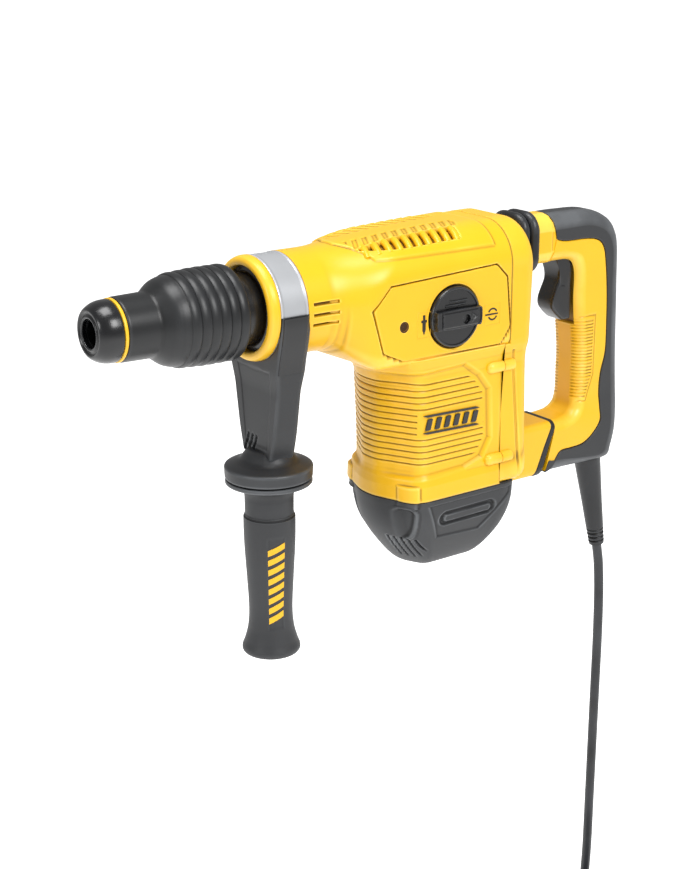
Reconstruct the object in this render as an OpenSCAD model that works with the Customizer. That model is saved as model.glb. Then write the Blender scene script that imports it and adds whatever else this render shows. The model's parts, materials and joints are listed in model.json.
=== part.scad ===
// Electro-pneumatic chipping hammer with a vertical motor, a damped D-handle,
// a swivelling side handle and a mains lead.
// The hammer axis runs along X: the tool socket points to -X, the D-handle is at +X.
// The origin is the middle of the rear hand grip, where the tool is held.

/* [Barrel and gear cover] */
// Radius of the round barrel and of the collar in front of the clamp band
barrel_r = 35.8; // [34:0.1:42]
// Radius of the seat that the clamp band turns on
band_seat_r = 34.6; // [33:0.1:40]
// Length of the clamp band's seat along the barrel
band_seat_l = 22.6; // [16:0.1:32]
// How far the collar stands in front of the clamp band
collar_l = 7; // [4:0.5:12]
// Radius of the open mouth of the collar
collar_mouth_r = 29.2; // [28:0.1:34]
// Half width of the gear cover
cover_half_w = 46; // [42:0.5:56]
// Height of the gear cover's top above the hammer axis
cover_top = 43; // [40:0.5:52]
// Depth of the gear cover's lower edge below the hammer axis
cover_drop = 47; // [46:0.5:58]
// Wall thickness of the plastic shells
shell_wall = 3; // [2:0.1:3.6]

/* [Motor] */
// Distance of the motor's axis behind the collar's rear face
motor_x = 136.5; // [128:0.5:150]
// Outer radius of the motor housing
motor_housing_r = 42; // [40:0.5:50]
// Depth of the joint between motor housing and end cap below the hammer axis
cap_joint_z = 151; // [146:1:185]
// Height of the motor's end cap
cap_h = 61; // [56:1:76]
// Outer radius of the field core
field_r = 36.5; // [30:0.5:38]
// Outer radius of the armature core
armature_r = 23; // [18:0.5:24]
// Length of the field and armature cores
core_l = 54; // [44:1:58]
// Radius of the motor shaft
motor_shaft_r = 4; // [3:0.1:5]
// Radius of the commutator
commutator_r = 13; // [11:0.5:15]

/* [Gears and crank] */
// Module of the spur gears
gear_module = 1.25; // [1:0.05:1.3]
// Teeth of the motor pinion
pinion_teeth = 8; // [8:1:9]
// Teeth of the crank gear
crank_teeth = 38; // [34:1:38]
// Face width of the crank gear
gear_face = 10; // [8:0.5:12]
// Throw of the crank pin
crank_throw = 12; // [9:0.5:13]
// Radius of the crank pin
crank_pin_r = 4.5; // [3.5:0.1:6]
// Distance between the two eyes of the connecting rod
rod_l = 55; // [48:0.5:62]

/* [Striking mechanism] */
// Bore radius of the striking cylinder
cylinder_bore_r = 16; // [13:0.1:17]
// Outer radius of the striking cylinder and of the tool holder's journal
cylinder_r = 20; // [19:0.1:21]
// Length of the piston
piston_l = 24; // [20:0.5:28]
// Length of the ram's full-diameter body
ram_l = 26; // [20:0.5:28]
// Radius of the beat piece's stem
beat_r = 8; // [6:0.1:8.5]

/* [Tool holder] */
// Radius of the tool socket's bore
socket_r = 9; // [8.9:0.1:10.8]
// Outer radius of the tool holder's nose
holder_r = 15; // [14:0.1:15.4]
// How far the tool holder's nose stands in front of the collar's rear face
holder_reach = 117; // [110:0.5:130]
// Radius of the dust cap and of the locking sleeve's front end
cap_r = 20.6; // [20:0.1:24]
// Radius over the ribs of the locking sleeve
sleeve_rib_r = 32.4; // [31:0.1:34]
// Number of grip ribs round the locking sleeve
sleeve_ribs = 6; // [4:1:7]
// Travel of the locking sleeve
sleeve_travel = 10; // [8:0.5:10]
// How far each locking segment moves outwards over that travel
segment_lift = 1.2; // [0.8:0.1:1.3]
// Radius of the black neck behind the sleeve
neck_r = 24.4; // [24:0.1:24.6]

/* [Side handle] */
// Radius of the round flange below the bracket
flange_r = 29.8; // [26:0.1:36]
// Distance of the flange's lower face below the hammer axis
flange_drop = 120.5; // [112:0.5:140]
// Radius of the side grip under its step
side_grip_r = 17.9; // [15:0.1:22]
// Length of the side grip below the flange
side_grip_l = 128; // [110:1:150]
// Radius of the clamping bolt inside the side grip
clamp_bolt_r = 5; // [4:0.1:6]

/* [Rear handle] */
// Half width of the hand grip
grip_half_w = 15.5; // [14:0.5:19]
// Depth of the hand grip from front to back
grip_depth = 46; // [42:0.5:56]
// Distance of the hand grip's middle behind the collar's rear face
grip_x = 311; // [305:0.5:330]
// Distance of the hand grip's middle below the hammer axis
grip_drop = 66; // [60:0.5:80]
// Height of the finger opening between the two bridges
opening_h = 123; // [118:1:150]
// Half width of the lower bridge
bridge_half_w = 19; // [17:0.5:23]
// Half width of the trigger
trigger_half_w = 9; // [7:0.5:10]

/* [Mains lead] */
// Diameter of the mains cord
cord_d = 8; // [6.5:0.5:9]
// Length of the bend-relief sleeve
relief_l = 84; // [70:1:110]
// Middle radius of the stored coil
coil_r = 45; // [40:1:60]

/* [Clearances] */
// Gap between parts that move past each other
run_gap = 0.4; // [0.3:0.05:0.5]
// Radial gap of shafts, pins and pistons in their bores
fit_gap = 0.04; // [0.02:0.01:0.08]

/* [Hidden] */
$fn = 64;

yellow = "#f5bd18";
dark_grey = "#4b4d4f";
black = "#1c1c1e";
steel = "#a9adb2";
band_grey = "#c9cbce";
cast_grey = "#8f9396";
copper = "#b8733a";

// --- Shared helpers -------------------------------------------------------

// Moves a piece from the hammer-axis frame to the frame of the rear hand grip.
module placed() {
    translate([-grip_x, 0, grip_drop]) children();
}

// Solid rod along X from x0 to x1.
module rod_x(x0, x1, r) {
    translate([x0, 0, 0]) rotate([0, 90, 0]) cylinder(r = r, h = x1 - x0);
}

// Solid rod along Y from y0 to y1.
module rod_y(y0, y1, r) {
    translate([0, y0, 0]) rotate([-90, 0, 0]) cylinder(r = r, h = y1 - y0);
}

// Solid rod along Z from z0 to z1.
module rod_z(z0, z1, r) {
    translate([0, 0, z0]) cylinder(r = r, h = z1 - z0);
}

module tube_x(x0, x1, r_out, r_in) {
    difference() {
        rod_x(x0, x1, r_out);
        rod_x(x0 - 1, x1 + 1, r_in);
    }
}

module tube_z(z0, z1, r_out, r_in) {
    difference() {
        rod_z(z0, z1, r_out);
        rod_z(z0 - 1, z1 + 1, r_in);
    }
}

// Turns an outline of [radius, x] points round the hammer axis.
module turned_x(points) {
    rotate([0, 90, 0]) rotate_extrude() polygon(points);
}

// Turns an outline of [radius, z] points round a vertical axis.
module turned_z(points) {
    rotate_extrude() polygon(points);
}

module box(x0, x1, y0, y1, z0, z1) {
    translate([x0, y0, z0]) cube([x1 - x0, y1 - y0, z1 - z0]);
}

// Extrudes an outline drawn in the X-Z plane over a width centred on Y.
module side_plate(half_w) {
    translate([0, half_w, 0]) rotate([90, 0, 0]) linear_extrude(2 * half_w) children();
}

// Rectangle with round corners, from two squares and four discs.
module round_rect(x0, x1, y0, y1, r) {
    translate([x0 + r, y0]) square([x1 - x0 - 2 * r, y1 - y0]);
    translate([x0, y0 + r]) square([x1 - x0, y1 - y0 - 2 * r]);
    for (x = [x0 + r, x1 - r], y = [y0 + r, y1 - r]) translate([x, y]) circle(r);
}

function unit(v) = v / norm(v);

// Frame vectors across a tangent, kept steady by a fixed guide direction.
function across(t, guide) = unit(cross(t, guide));

// Tube of radius r swept through points, with sides corners per ring.
module swept_tube(points, r, sides, guide) {
    n = len(points);
    tangents = [for (i = [0:n - 1]) unit(points[min(i + 1, n - 1)] - points[max(i - 1, 0)])];
    rings = [for (i = [0:n - 1]) let (a = across(tangents[i], guide), b = cross(a, tangents[i]))
        for (k = [0:sides - 1]) let (w = 360 * k / sides)
            points[i] + r * cos(w) * a + r * sin(w) * b];
    walls = [for (i = [0:n - 2], k = [0:sides - 1]) let (m = (k + 1) % sides)
        [i * sides + k, (i + 1) * sides + k, (i + 1) * sides + m, i * sides + m]];
    first = [for (k = [0:sides - 1]) k];
    last = [for (k = [sides - 1:-1:0]) (n - 1) * sides + k];
    polyhedron(concat(rings), concat(walls, [first], [last]), convexity = 8);
}

// Coil spring along Z from z0 to z1 with a mean radius and a wire radius.
module coil_spring_z(z0, z1, mean_r, wire_r, turns, steps = 12) {
    n = ceil(turns * steps);
    points = [for (i = [0:n]) let (w = 360 * turns * i / n)
        [mean_r * cos(w), mean_r * sin(w), z0 + wire_r + (z1 - z0 - 2 * wire_r) * i / n]];
    swept_tube(points, wire_r, 6, [0, 0, 1]);
}

// Points of a Catmull-Rom curve through chosen points, steps per span.
function curve_point(a, b, c, d, t) = 0.5 * (2 * b + (c - a) * t
    + (2 * a - 5 * b + 4 * c - d) * t * t + (3 * b - a - 3 * c + d) * t * t * t);
function curve(p, steps) = let (n = len(p)) concat(
    [for (i = [0:n - 2], s = [0:steps - 1])
        curve_point(p[max(i - 1, 0)], p[i], p[i + 1], p[min(i + 2, n - 1)], s / steps)],
    [p[n - 1]]);

// Spur gear outline: slim straight-sided teeth with a wide root.
module gear_outline(teeth) {
    pitch_r = teeth * gear_module / 2;
    tip_r = pitch_r + 0.75 * gear_module;
    root_r = pitch_r - 1.15 * gear_module;
    step = 360 / teeth;
    polygon([for (i = [0:teeth - 1], c = [[-0.31, root_r], [-0.11, tip_r], [0.11, tip_r], [0.31, root_r]])
        let (w = (i + c[0]) * step) c[1] * [cos(w), sin(w)]]);
}

// --- Derived places -------------------------------------------------------

holder_front_x = -holder_reach;
socket_end_x = -54;
socket_relief = 0.4;
chamber_x0 = -36;
chamber_x1 = -6;
cylinder_x0 = 12;
cap_front_x = holder_front_x - 4;
cap_rear_x = holder_front_x + 11.6;
ring_l = 2.2;
sleeve_front_x = cap_rear_x + ring_l + 0.5;
sleeve_rear_x = -20;
segment_x0 = -74;
segment_x1 = -62;
segment_half_w = 4.5;
cone_slope = segment_lift / sleeve_travel;
cone_front_x = segment_x0 - sleeve_travel - 1;
spring_seat_x = -58;
holder_flange_x = -34;
holder_flange_r = 23;
neck_x0 = -25;
neck_x1 = 4;
case_tube_x0 = 8;
case_tube_r = band_seat_r - shell_wall - 0.2;
case_bore_r = case_tube_r - 3.8;

crank_x = motor_x + gear_module * (crank_teeth + pinion_teeth) / 2 + 0.15;
pin_x = crank_x - crank_throw;
wrist_x = pin_x - rod_l;
piston_x0 = wrist_x - 10;
piston_x1 = piston_x0 + piston_l;
cylinder_x1 = wrist_x + 20;
ram_x1 = piston_x0 - 16;
ram_x0 = ram_x1 - ram_l;
ram_nose_x = ram_x0 - 10;
beat_end_x = ram_nose_x - 4;
rod_half_h = 6;
wrist_pin_r = 4;
bearing_wall = 2.5;
gear_top_z = -cylinder_bore_r - 1;
gear_bottom_z = gear_top_z - gear_face;
crank_shaft_r = 8;
case_wall = 3.5;
chamber_box_x0 = cylinder_x1 - 12;
chamber_box_x1 = crank_x + gear_module * crank_teeth / 2 + 2 + case_wall;
chamber_half_w = gear_module * crank_teeth / 2 + 4 + case_wall;
chamber_top_z = 30;
chamber_floor_z = gear_bottom_z - 3;
case_bottom_z = -44;

cover_x1 = 186;
loft_x0 = 46;
section_x0 = 68;
top_arc_r = 30;
low_arc_r = 8;
panel_t = 2.6;
panel_outline = [
    [82, 11.5], [174, 12.8], [184, 4], [184, -32], [178, -41], [94, -41], [79, -35], [70, -4]
];
knob_x = motor_x + 0.7;
knob_z = -16.5;
knob_r = 22;
knob_h = 7.5;
selector_shaft_r = 6;

fan_top_z = -50;
fan_h = 11;
fan_r = motor_housing_r - shell_wall - 4;
core_top_z = -72;
core_bottom_z = core_top_z - core_l;
commutator_top_z = core_bottom_z - 14;
commutator_l = 18;
bridge_top_z = -cap_joint_z - 14;
lower_bearing_z = bridge_top_z - 16;
bearing_r = 11;
bearing_h = 9;
upper_bearing_z = case_bottom_z + 1;
shaft_end_z = lower_bearing_z - 3;
rear_x1 = 213;
cap_rear_edge_x = 207;
screw_r = 2.2;
screw_head_r = 3.8;
boss_z = [-62, -132];
boss_y = motor_housing_r - 4.5;

bracket_x0 = 0.4;
bracket_x1 = band_seat_l - 0.4;
handle_axis_x = (bracket_x0 + bracket_x1) / 2 + 0.5;
flange_t = 9;
saddle_half_w = barrel_r + 0.8;
stem_half_w = 16.5;
bolt_top_z = -64;
grip_top_z = -flange_drop - 1.1;
grip_flange_t = 3;

bellows_x0 = rear_x1;
handle_x0 = 256;
upper_z0 = 1;
upper_z1 = 37;
opening_z0 = upper_z0 - opening_h - 1;
handle_bottom_z = opening_z0 - 42;
grip_front_x = grip_x - grip_depth / 2;
grip_rear_x = grip_x + grip_depth / 2;
pivot = [handle_x0 - 13, handle_bottom_z + 20];
pivot_r = 4;
trigger_axis = [276, 5];
trigger_pin_r = 2.5;
relief_top = [grip_x + 5, handle_bottom_z + 3];

// Route of the hanging cord, from the bend relief down to the coil.
surface_z = -600;
cord_r = cord_d / 2;
cord_route = [
    [332.4, 0, -244.6], [334, 0, -253], [336, 0, -265], [338, 0, -290], [339, 0, -330],
    [339, 0, -380], [339, 0, -430], [339, 0, -480], [339, 0, -530], [338, 0, -560],
    [336, -2, -578], [331, -5, -590], [322, -9, -595], [312, -13, -594]
];
tail_route = [
    [268, -12, -582], [254, -8, -582], [240, -8, -582], [228, -14, -582], [221, -24, -582],
    [220, -36, -582]
];
coil_centre = [305, -64, surface_z];
coil_bundle_r = 2.2 * cord_d;
plug_r = 18;
plug_l = 42;
plug_end = [220, -36, surface_z + plug_r];

// --- Tool holder and locking sleeve ---------------------------------------

// Inner cone of the locking sleeve at x: it lets the segments out as it moves back.
function cone_r(x) = 17.2 + cone_slope * (segment_x1 - x);

module dust_cap() {
    color(black) placed() turned_x([
        [socket_r + 0.6, cap_front_x], [holder_r + 0.3, cap_front_x],
        [holder_r + 2.6, cap_front_x + 1.4], [cap_r - 1, cap_front_x + 6],
        [cap_r, cap_front_x + 11], [cap_r, cap_rear_x], [holder_r, cap_rear_x],
        [holder_r, holder_front_x], [socket_r + 0.6, holder_front_x]
    ]);
}

module retaining_ring() {
    color(yellow) placed() tube_x(cap_rear_x, cap_rear_x + ring_l, cap_r + 0.3, holder_r);
}

module tool_holder() {
    color(steel) placed() difference() {
        union() {
            rod_x(holder_front_x, 0, holder_r);
            rod_x(holder_flange_x, holder_flange_x + 3, holder_flange_r);
            rod_x(holder_flange_x + 3, cylinder_x0, cylinder_r);
        }
        rod_x(holder_front_x - 1, segment_x0, socket_r);
        rod_x(segment_x0 - run_gap, socket_end_x, socket_r + socket_relief);
        rod_x(socket_end_x - 1, chamber_x0 + 1, beat_r + fit_gap);
        rod_x(chamber_x0, chamber_x1 + 1, beat_r + 4.2);
        rod_x(chamber_x1, cylinder_x0 + 1, cylinder_bore_r);
        box(segment_x0 - run_gap, segment_x1 + run_gap, -segment_half_w - run_gap,
            segment_half_w + run_gap, -holder_r - 1, holder_r + 1);
    }
}

module locking_segment(side) {
    color(steel) placed() intersection() {
        turned_x([
            [socket_r - segment_lift, segment_x0], [cone_r(segment_x0) - run_gap, segment_x0],
            [cone_r(segment_x1) - run_gap, segment_x1], [socket_r - segment_lift, segment_x1]
        ]);
        box(segment_x0, segment_x1, -segment_half_w, segment_half_w,
            side > 0 ? 0 : -cap_r, side > 0 ? cap_r : 0);
    }
}

module locking_segment_top() { locking_segment(1); }

module locking_segment_bottom() { locking_segment(-1); }

module locking_sleeve() {
    rib_x0 = -63;
    rib_pitch = (sleeve_rear_x - rib_x0) / sleeve_ribs;
    steps = 8;
    rib_points = [for (i = [0:sleeve_ribs * steps - 1]) let (
        x = rib_x0 + i * rib_pitch / steps,
        swell = 1.4 * pow(sin(180 * i / steps), 2),
        base = sleeve_rib_r - 3 + 1.6 * min(1, i / (2 * steps))) [base + swell, x]];
    color(black) placed() turned_x(concat(
        [[holder_r + 0.2, sleeve_front_x], [cap_r - 0.3, sleeve_front_x],
         [cap_r + 0.9, -79], [cap_r + 7.4, -70.5], [sleeve_rib_r - 3.2, -65]],
        rib_points,
        [[sleeve_rib_r - 1.6, sleeve_rear_x], [neck_r + 0.6, sleeve_rear_x],
         [neck_r + 0.6, spring_seat_x], [cone_r(spring_seat_x - 1), spring_seat_x],
         [cone_r(cone_front_x), cone_front_x], [holder_r + 0.2, cone_front_x]]
    ));
}

module sleeve_spring() {
    color(steel) placed() translate([spring_seat_x + 0.4, 0, 0]) rotate([0, 90, 0])
        coil_spring_z(0, holder_flange_x - spring_seat_x - 0.8, 19.6, 1.3, 4.5);
}

module nose_flange() {
    color(black) placed() difference() {
        union() {
            rod_x(neck_x0, neck_x1 + 1, neck_r);
            rod_x(neck_x1, case_tube_x0, case_tube_r);
        }
        rod_x(neck_x0 - 1, case_tube_x0 + 1, cylinder_r + fit_gap);
    }
}

// --- Striking mechanism ---------------------------------------------------

module beat_piece() {
    color(steel) placed() union() {
        rod_x(socket_end_x, beat_end_x, beat_r);
        rod_x(chamber_x0 + 2, chamber_x0 + 14, beat_r + 3.6);
    }
}

module beat_bush() {
    color(cast_grey) placed()
        tube_x(chamber_x1, cylinder_x0, cylinder_bore_r, beat_r + fit_gap);
}

module cylinder_tube() {
    color(steel) placed() tube_x(cylinder_x0, cylinder_x1, cylinder_r, cylinder_bore_r);
}

// Disc on the hammer axis with a ring groove cut into its rim.
module grooved_disc(x0, x1, r, groove_x) {
    difference() {
        rod_x(x0, x1, r);
        tube_x(groove_x, groove_x + 3, r + 1, r - 2.4);
    }
}

module ram() {
    color(steel) placed() union() {
        grooved_disc(ram_x0, ram_x1, cylinder_bore_r - fit_gap, ram_x1 - 9);
        rod_x(ram_nose_x, ram_x0, beat_r);
    }
}

module ram_ring() {
    r = cylinder_bore_r - fit_gap;
    color(black) placed() tube_x(ram_x1 - 9, ram_x1 - 6, r, r - 2.4);
}

module piston() {
    r = cylinder_bore_r - fit_gap;
    color(cast_grey) placed() difference() {
        grooved_disc(piston_x0, piston_x1, r, piston_x0 + 2.5);
        box(wrist_x - 8.5, piston_x1 + 1, -9.5, 9.5, -rod_half_h - run_gap, rod_half_h + run_gap);
        translate([wrist_x, 0, 0]) rod_z(-r, r, wrist_pin_r);
    }
}

module piston_ring() {
    r = cylinder_bore_r - fit_gap;
    color(black) placed() tube_x(piston_x0 + 2.5, piston_x0 + 5.5, r, r - 2.4);
}

module wrist_pin() {
    reach = cylinder_bore_r - 2;
    color(steel) placed() translate([wrist_x, 0, 0]) rod_z(-reach, reach, wrist_pin_r);
}

module connecting_rod() {
    color(cast_grey) placed() difference() {
        union() {
            translate([wrist_x, 0, 0]) rod_z(-rod_half_h, rod_half_h, 7.5);
            translate([pin_x, 0, 0])
                rod_z(-rod_half_h, rod_half_h, crank_pin_r + bearing_wall + 3.5);
            box(wrist_x, pin_x, -4, 4, -rod_half_h, rod_half_h);
        }
        translate([wrist_x, 0, 0]) rod_z(-rod_half_h - 1, rod_half_h + 1, wrist_pin_r + fit_gap);
        translate([pin_x, 0, 0])
            rod_z(-rod_half_h - 1, rod_half_h + 1, crank_pin_r + bearing_wall);
    }
}

module crank_bearing() {
    color(steel) placed() translate([pin_x, 0, 0])
        tube_z(-rod_half_h, rod_half_h, crank_pin_r + bearing_wall, crank_pin_r + fit_gap);
}

// Crank gear with its journal below and its crank pin above, one forging.
module crank_gear() {
    color(steel) placed() union() {
        translate([crank_x, 0, gear_bottom_z]) rotate([0, 0, 180 / crank_teeth + 180])
            linear_extrude(gear_face) gear_outline(crank_teeth);
        translate([crank_x, 0, 0]) rod_z(case_bottom_z + 1, gear_bottom_z, crank_shaft_r);
        translate([pin_x, 0, 0]) rod_z(gear_top_z, -rod_half_h - 0.7, crank_pin_r);
    }
}

module pinion() {
    color(steel) placed() translate([motor_x, 0, gear_bottom_z]) difference() {
        linear_extrude(gear_face) gear_outline(pinion_teeth);
        rod_z(-1, gear_face + 1, motor_shaft_r - 1.2);
    }
}

// --- Gear case ------------------------------------------------------------

module spindle_bush(x) {
    color(cast_grey) placed() tube_x(x, x + 14, case_bore_r, cylinder_r + fit_gap);
}

module spindle_bush_front() { spindle_bush(case_tube_x0 + 2); }

module spindle_bush_rear() { spindle_bush(chamber_box_x0 - 20); }

module gear_case() {
    color(cast_grey) placed() difference() {
        union() {
            rod_x(case_tube_x0, chamber_box_x0 + 1, case_tube_r);
            translate([0, 0, case_bottom_z]) linear_extrude(chamber_top_z - case_bottom_z)
                round_rect(chamber_box_x0, chamber_box_x1, -chamber_half_w, chamber_half_w, 8);
        }
        rod_x(case_tube_x0 - 1, chamber_box_x0 + case_wall + 1, case_bore_r);
        translate([0, 0, chamber_floor_z])
            linear_extrude(chamber_top_z - case_wall - chamber_floor_z)
                round_rect(chamber_box_x0 + case_wall, chamber_box_x1 - case_wall,
                    case_wall - chamber_half_w, chamber_half_w - case_wall, 6);
        translate([crank_x, 0, 0]) rod_z(case_bottom_z - 1, 0, crank_shaft_r + fit_gap);
        translate([motor_x, 0, 0]) rod_z(case_bottom_z - 1, upper_bearing_z + bearing_h, bearing_r);
        translate([motor_x, 0, 0]) rod_z(case_bottom_z - 1, 0, motor_shaft_r + 2.5);
        translate([knob_x, 0, knob_z])
            rod_y(-chamber_half_w - 1, case_wall - chamber_half_w + 1, selector_shaft_r + fit_gap);
    }
}

// Cross-section of the gear cover between two planes, shrunk by inset.
module cover_section(x0, x1, inset) {
    for (side = [-1, 1]) {
        translate([0, side * (cover_half_w - top_arc_r), cover_top - top_arc_r])
            rod_x(x0, x1, top_arc_r - inset, $fn = 40);
        translate([0, side * (cover_half_w - low_arc_r), low_arc_r - cover_drop])
            rod_x(x0, x1, low_arc_r - inset, $fn = 24);
    }
}

module cover_solid(inset, x1) {
    hull() {
        rod_x(loft_x0, loft_x0 + 1, barrel_r - inset, $fn = 48);
        cover_section(section_x0, x1, inset);
    }
}

module gear_cover() {
    color(yellow) placed() difference() {
        union() {
            rod_x(-collar_l, 0, barrel_r);
            rod_x(0, band_seat_l, band_seat_r);
            rod_x(band_seat_l, loft_x0 + 1, barrel_r);
            cover_solid(0, cover_x1);
        }
        rod_x(-collar_l - 1, neck_x1 + 0.2, collar_mouth_r);
        rod_x(neck_x1, loft_x0 + 2, case_tube_r + 0.2);
        cover_solid(shell_wall, cover_x1 + 1);
        hull() {
            translate([motor_x, 0, 0])
                rod_z(-cover_drop - 1, -cover_drop + 8, motor_housing_r - shell_wall, $fn = 48);
            box(cover_x1, cover_x1 + 1, shell_wall - motor_housing_r,
                motor_housing_r - shell_wall, -cover_drop - 1, -cover_drop + 8);
        }
        panel_plate(-cover_half_w - 1, panel_t - cover_half_w);
        translate([knob_x, 0, knob_z])
            rod_y(-cover_half_w - 1, 2 - cover_half_w + shell_wall, selector_shaft_r + 0.5);
        for (z = [5, -2.4, -9.4])
            box(26, 46, -barrel_r - 1, -case_tube_r - 0.4, z - 1, z + 1);
    }
}

// Eight-sided plate of the selector panel's outline between two Y planes.
module panel_plate(y0, y1) {
    translate([0, y1, 0]) rotate([90, 0, 0]) linear_extrude(y1 - y0) polygon(panel_outline);
}

module selector_panel() {
    color(yellow) placed() difference() {
        panel_plate(-cover_half_w, panel_t - cover_half_w);
        translate([knob_x, 0, knob_z]) {
            rod_y(-cover_half_w - 1, 1.2 - cover_half_w, knob_r + 0.8);
            rod_y(-cover_half_w - 1, panel_t - cover_half_w + 1, selector_shaft_r + 0.5);
        }
        translate([knob_x - 43.6, 0, knob_z - 1.5])
            rod_y(-cover_half_w - 1, panel_t - cover_half_w + 1, 4.4);
    }
}

module selector_knob() {
    y0 = 0.8 - cover_half_w - knob_h;
    y1 = 0.8 - cover_half_w;
    color(black) placed() translate([knob_x, 0, knob_z]) difference() {
        union() {
            rod_y(y1 - 3.2, y1, knob_r);
            intersection() {
                rod_y(y0, y1, knob_r - 0.3);
                box(-knob_r, knob_r, y0, y1, -9, 9);
            }
        }
        translate([6.5, 0, -2]) rod_y(y0 - 1, y0 + 3, 3.3);
    }
}

module selector_shaft() {
    y0 = 0.8 - cover_half_w;
    y1 = case_wall - chamber_half_w - 0.5;
    color(steel) placed() translate([knob_x, 0, knob_z]) rod_y(y0, y1, selector_shaft_r);
}

// --- Motor ----------------------------------------------------------------

// Plan outline of the motor housing: round in front, square towards the rear.
module motor_plan(inset, x1) {
    translate([motor_x, 0]) circle(motor_housing_r - inset);
    translate([motor_x, inset - motor_housing_r])
        square([x1 - motor_x, 2 * (motor_housing_r - inset)]);
}

module motor_housing() {
    height = cap_joint_z - cover_drop;
    color(yellow) placed() difference() {
        union() {
            translate([0, 0, -cap_joint_z]) difference() {
                linear_extrude(height) motor_plan(0, cover_x1);
                translate([0, 0, -1]) linear_extrude(height + 2)
                    motor_plan(shell_wall, cover_x1 + 1);
            }
            screw_shafts(screw_r + 2, cover_x1 - 12, cover_x1);
        }
        screw_shafts(screw_r, cover_x1 - 9.5, cover_x1 + 1);
    }
}

// Rear part of the cap's plan, with round corners.
module cap_plan(inset) {
    translate([motor_x, 0]) circle(motor_housing_r - inset);
    round_rect(motor_x, cap_rear_edge_x - inset, inset - motor_housing_r,
        motor_housing_r - inset, 10);
}

module cap_solid(inset) {
    hull() {
        translate([0, 0, -cap_joint_z - 10]) linear_extrude(10) cap_plan(inset);
        translate([0, 0, -cap_joint_z - 38]) linear_extrude(1) cap_plan(inset + 7);
        translate([0, 0, -cap_joint_z - cap_h + inset]) linear_extrude(1) cap_plan(inset + 24);
    }
}

module motor_end_cap() {
    color(dark_grey) placed() difference() {
        cap_solid(0, $fn = 48);
        cap_solid(shell_wall, $fn = 48);
        translate([0, 0, -cap_joint_z - 1]) linear_extrude(2) cap_plan(shell_wall);
    }
}

module field_core() {
    color(steel) placed() translate([motor_x, 0, 0]) {
        tube_z(core_bottom_z, core_top_z, field_r, armature_r + 0.8);
    }
}

module armature_core() {
    color(copper) placed() translate([motor_x, 0, 0])
        tube_z(core_bottom_z - 2, core_top_z + 2, armature_r, motor_shaft_r);
}

module commutator() {
    color(copper) placed() translate([motor_x, 0, 0])
        tube_z(commutator_top_z - commutator_l, commutator_top_z, commutator_r, motor_shaft_r);
}

module armature_shaft() {
    color(steel) placed() translate([motor_x, 0, 0]) union() {
        rod_z(shaft_end_z, gear_bottom_z, motor_shaft_r);
        rod_z(gear_bottom_z, gear_top_z, motor_shaft_r - 1.2);
    }
}

module cooling_fan() {
    blades = 9;
    color(black) placed() translate([motor_x, 0, fan_top_z - fan_h]) difference() {
        union() {
            rod_z(0, 2, fan_r);
            rod_z(0, fan_h, 9);
            for (i = [0:blades - 1]) rotate([0, 0, 360 * i / blades])
                box(8, fan_r - 1, -0.9, 0.9, 1, fan_h);
        }
        rod_z(-1, fan_h + 1, motor_shaft_r);
    }
}

module bearing(z) {
    color(steel) placed() translate([motor_x, 0, 0])
        tube_z(z, z + bearing_h, bearing_r, motor_shaft_r + fit_gap);
}

module upper_bearing() { bearing(upper_bearing_z); }

module lower_bearing() { bearing(lower_bearing_z); }

// Cross bridge that holds the lower bearing and the two brush holders.
module brush_bridge() {
    reach = motor_housing_r - shell_wall;
    leg = reach - 5;
    top = bridge_top_z;
    color(dark_grey) placed() translate([motor_x, 0, 0]) difference() {
        union() {
            rod_z(top - 22, top, bearing_r + 4);
            box(-8, 8, -leg, leg, top - 6, top);
            for (side = [-1, 1]) scale([1, side, 1]) {
                box(-8, 8, commutator_r + 6, leg, top - 1, commutator_top_z - 3);
                box(-6, 6, leg - 1, reach - 0.4, 1 - cap_joint_z, commutator_top_z - 3);
            }
        }
        rod_z(top - 23, top + 1, motor_shaft_r + 2.5);
        rod_z(lower_bearing_z, top + 1, bearing_r);
        rod_z(shaft_end_z - 0.5, lower_bearing_z + 1, motor_shaft_r + 2.5);
        box(-4, 4, 3 - leg, leg - 3, commutator_top_z - 14, commutator_top_z - 6);
    }
}

module carbon_brushes() {
    reach = motor_housing_r - shell_wall - 8;
    color(black) placed() translate([motor_x, 0, 0]) for (side = [-1, 1])
        scale([1, side, 1]) box(-4, 4, commutator_r + 0.3, reach,
            commutator_top_z - 14, commutator_top_z - 6);
}

module control_module() {
    color(black) placed() box(rear_x1 - shell_wall - 14, rear_x1 - shell_wall - 1, -24, 24, -112, -52);
}

// Screws along X through the half-round bosses behind the motor.
module screw_shafts(r, x0, x1) {
    for (y = [-boss_y, boss_y], z = boss_z) translate([0, y, z]) rod_x(x0, x1, r);
}

module housing_screws() {
    color(steel) placed() union() {
        screw_shafts(screw_r, cover_x1 - 9.5, cover_x1 + 6);
        screw_shafts(screw_head_r, cover_x1 + 6, cover_x1 + 9);
    }
}

// Outer shape of the rear housing, shrunk by inset.
module rear_solid(inset, x0) {
    hull() {
        cover_section(x0, cover_x1 + 12, inset);
        translate([rear_x1 - inset - 1, 0, 0]) for (side = [-1, 1]) {
            translate([0, side * 12, 19]) rod_x(0, 1, 22 - inset, $fn = 40);
            translate([0, side * 28, -38]) rod_x(0, 1, 8 - inset, $fn = 24);
        }
    }
    translate([0, 0, inset - cap_joint_z]) linear_extrude(cap_joint_z - 40 - inset)
        intersection() {
            round_rect(cover_x1 - 40, rear_x1 - inset, inset - motor_housing_r,
                motor_housing_r - inset, 12);
            translate([x0, -60]) square([60, 120]);
        }
}

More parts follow.
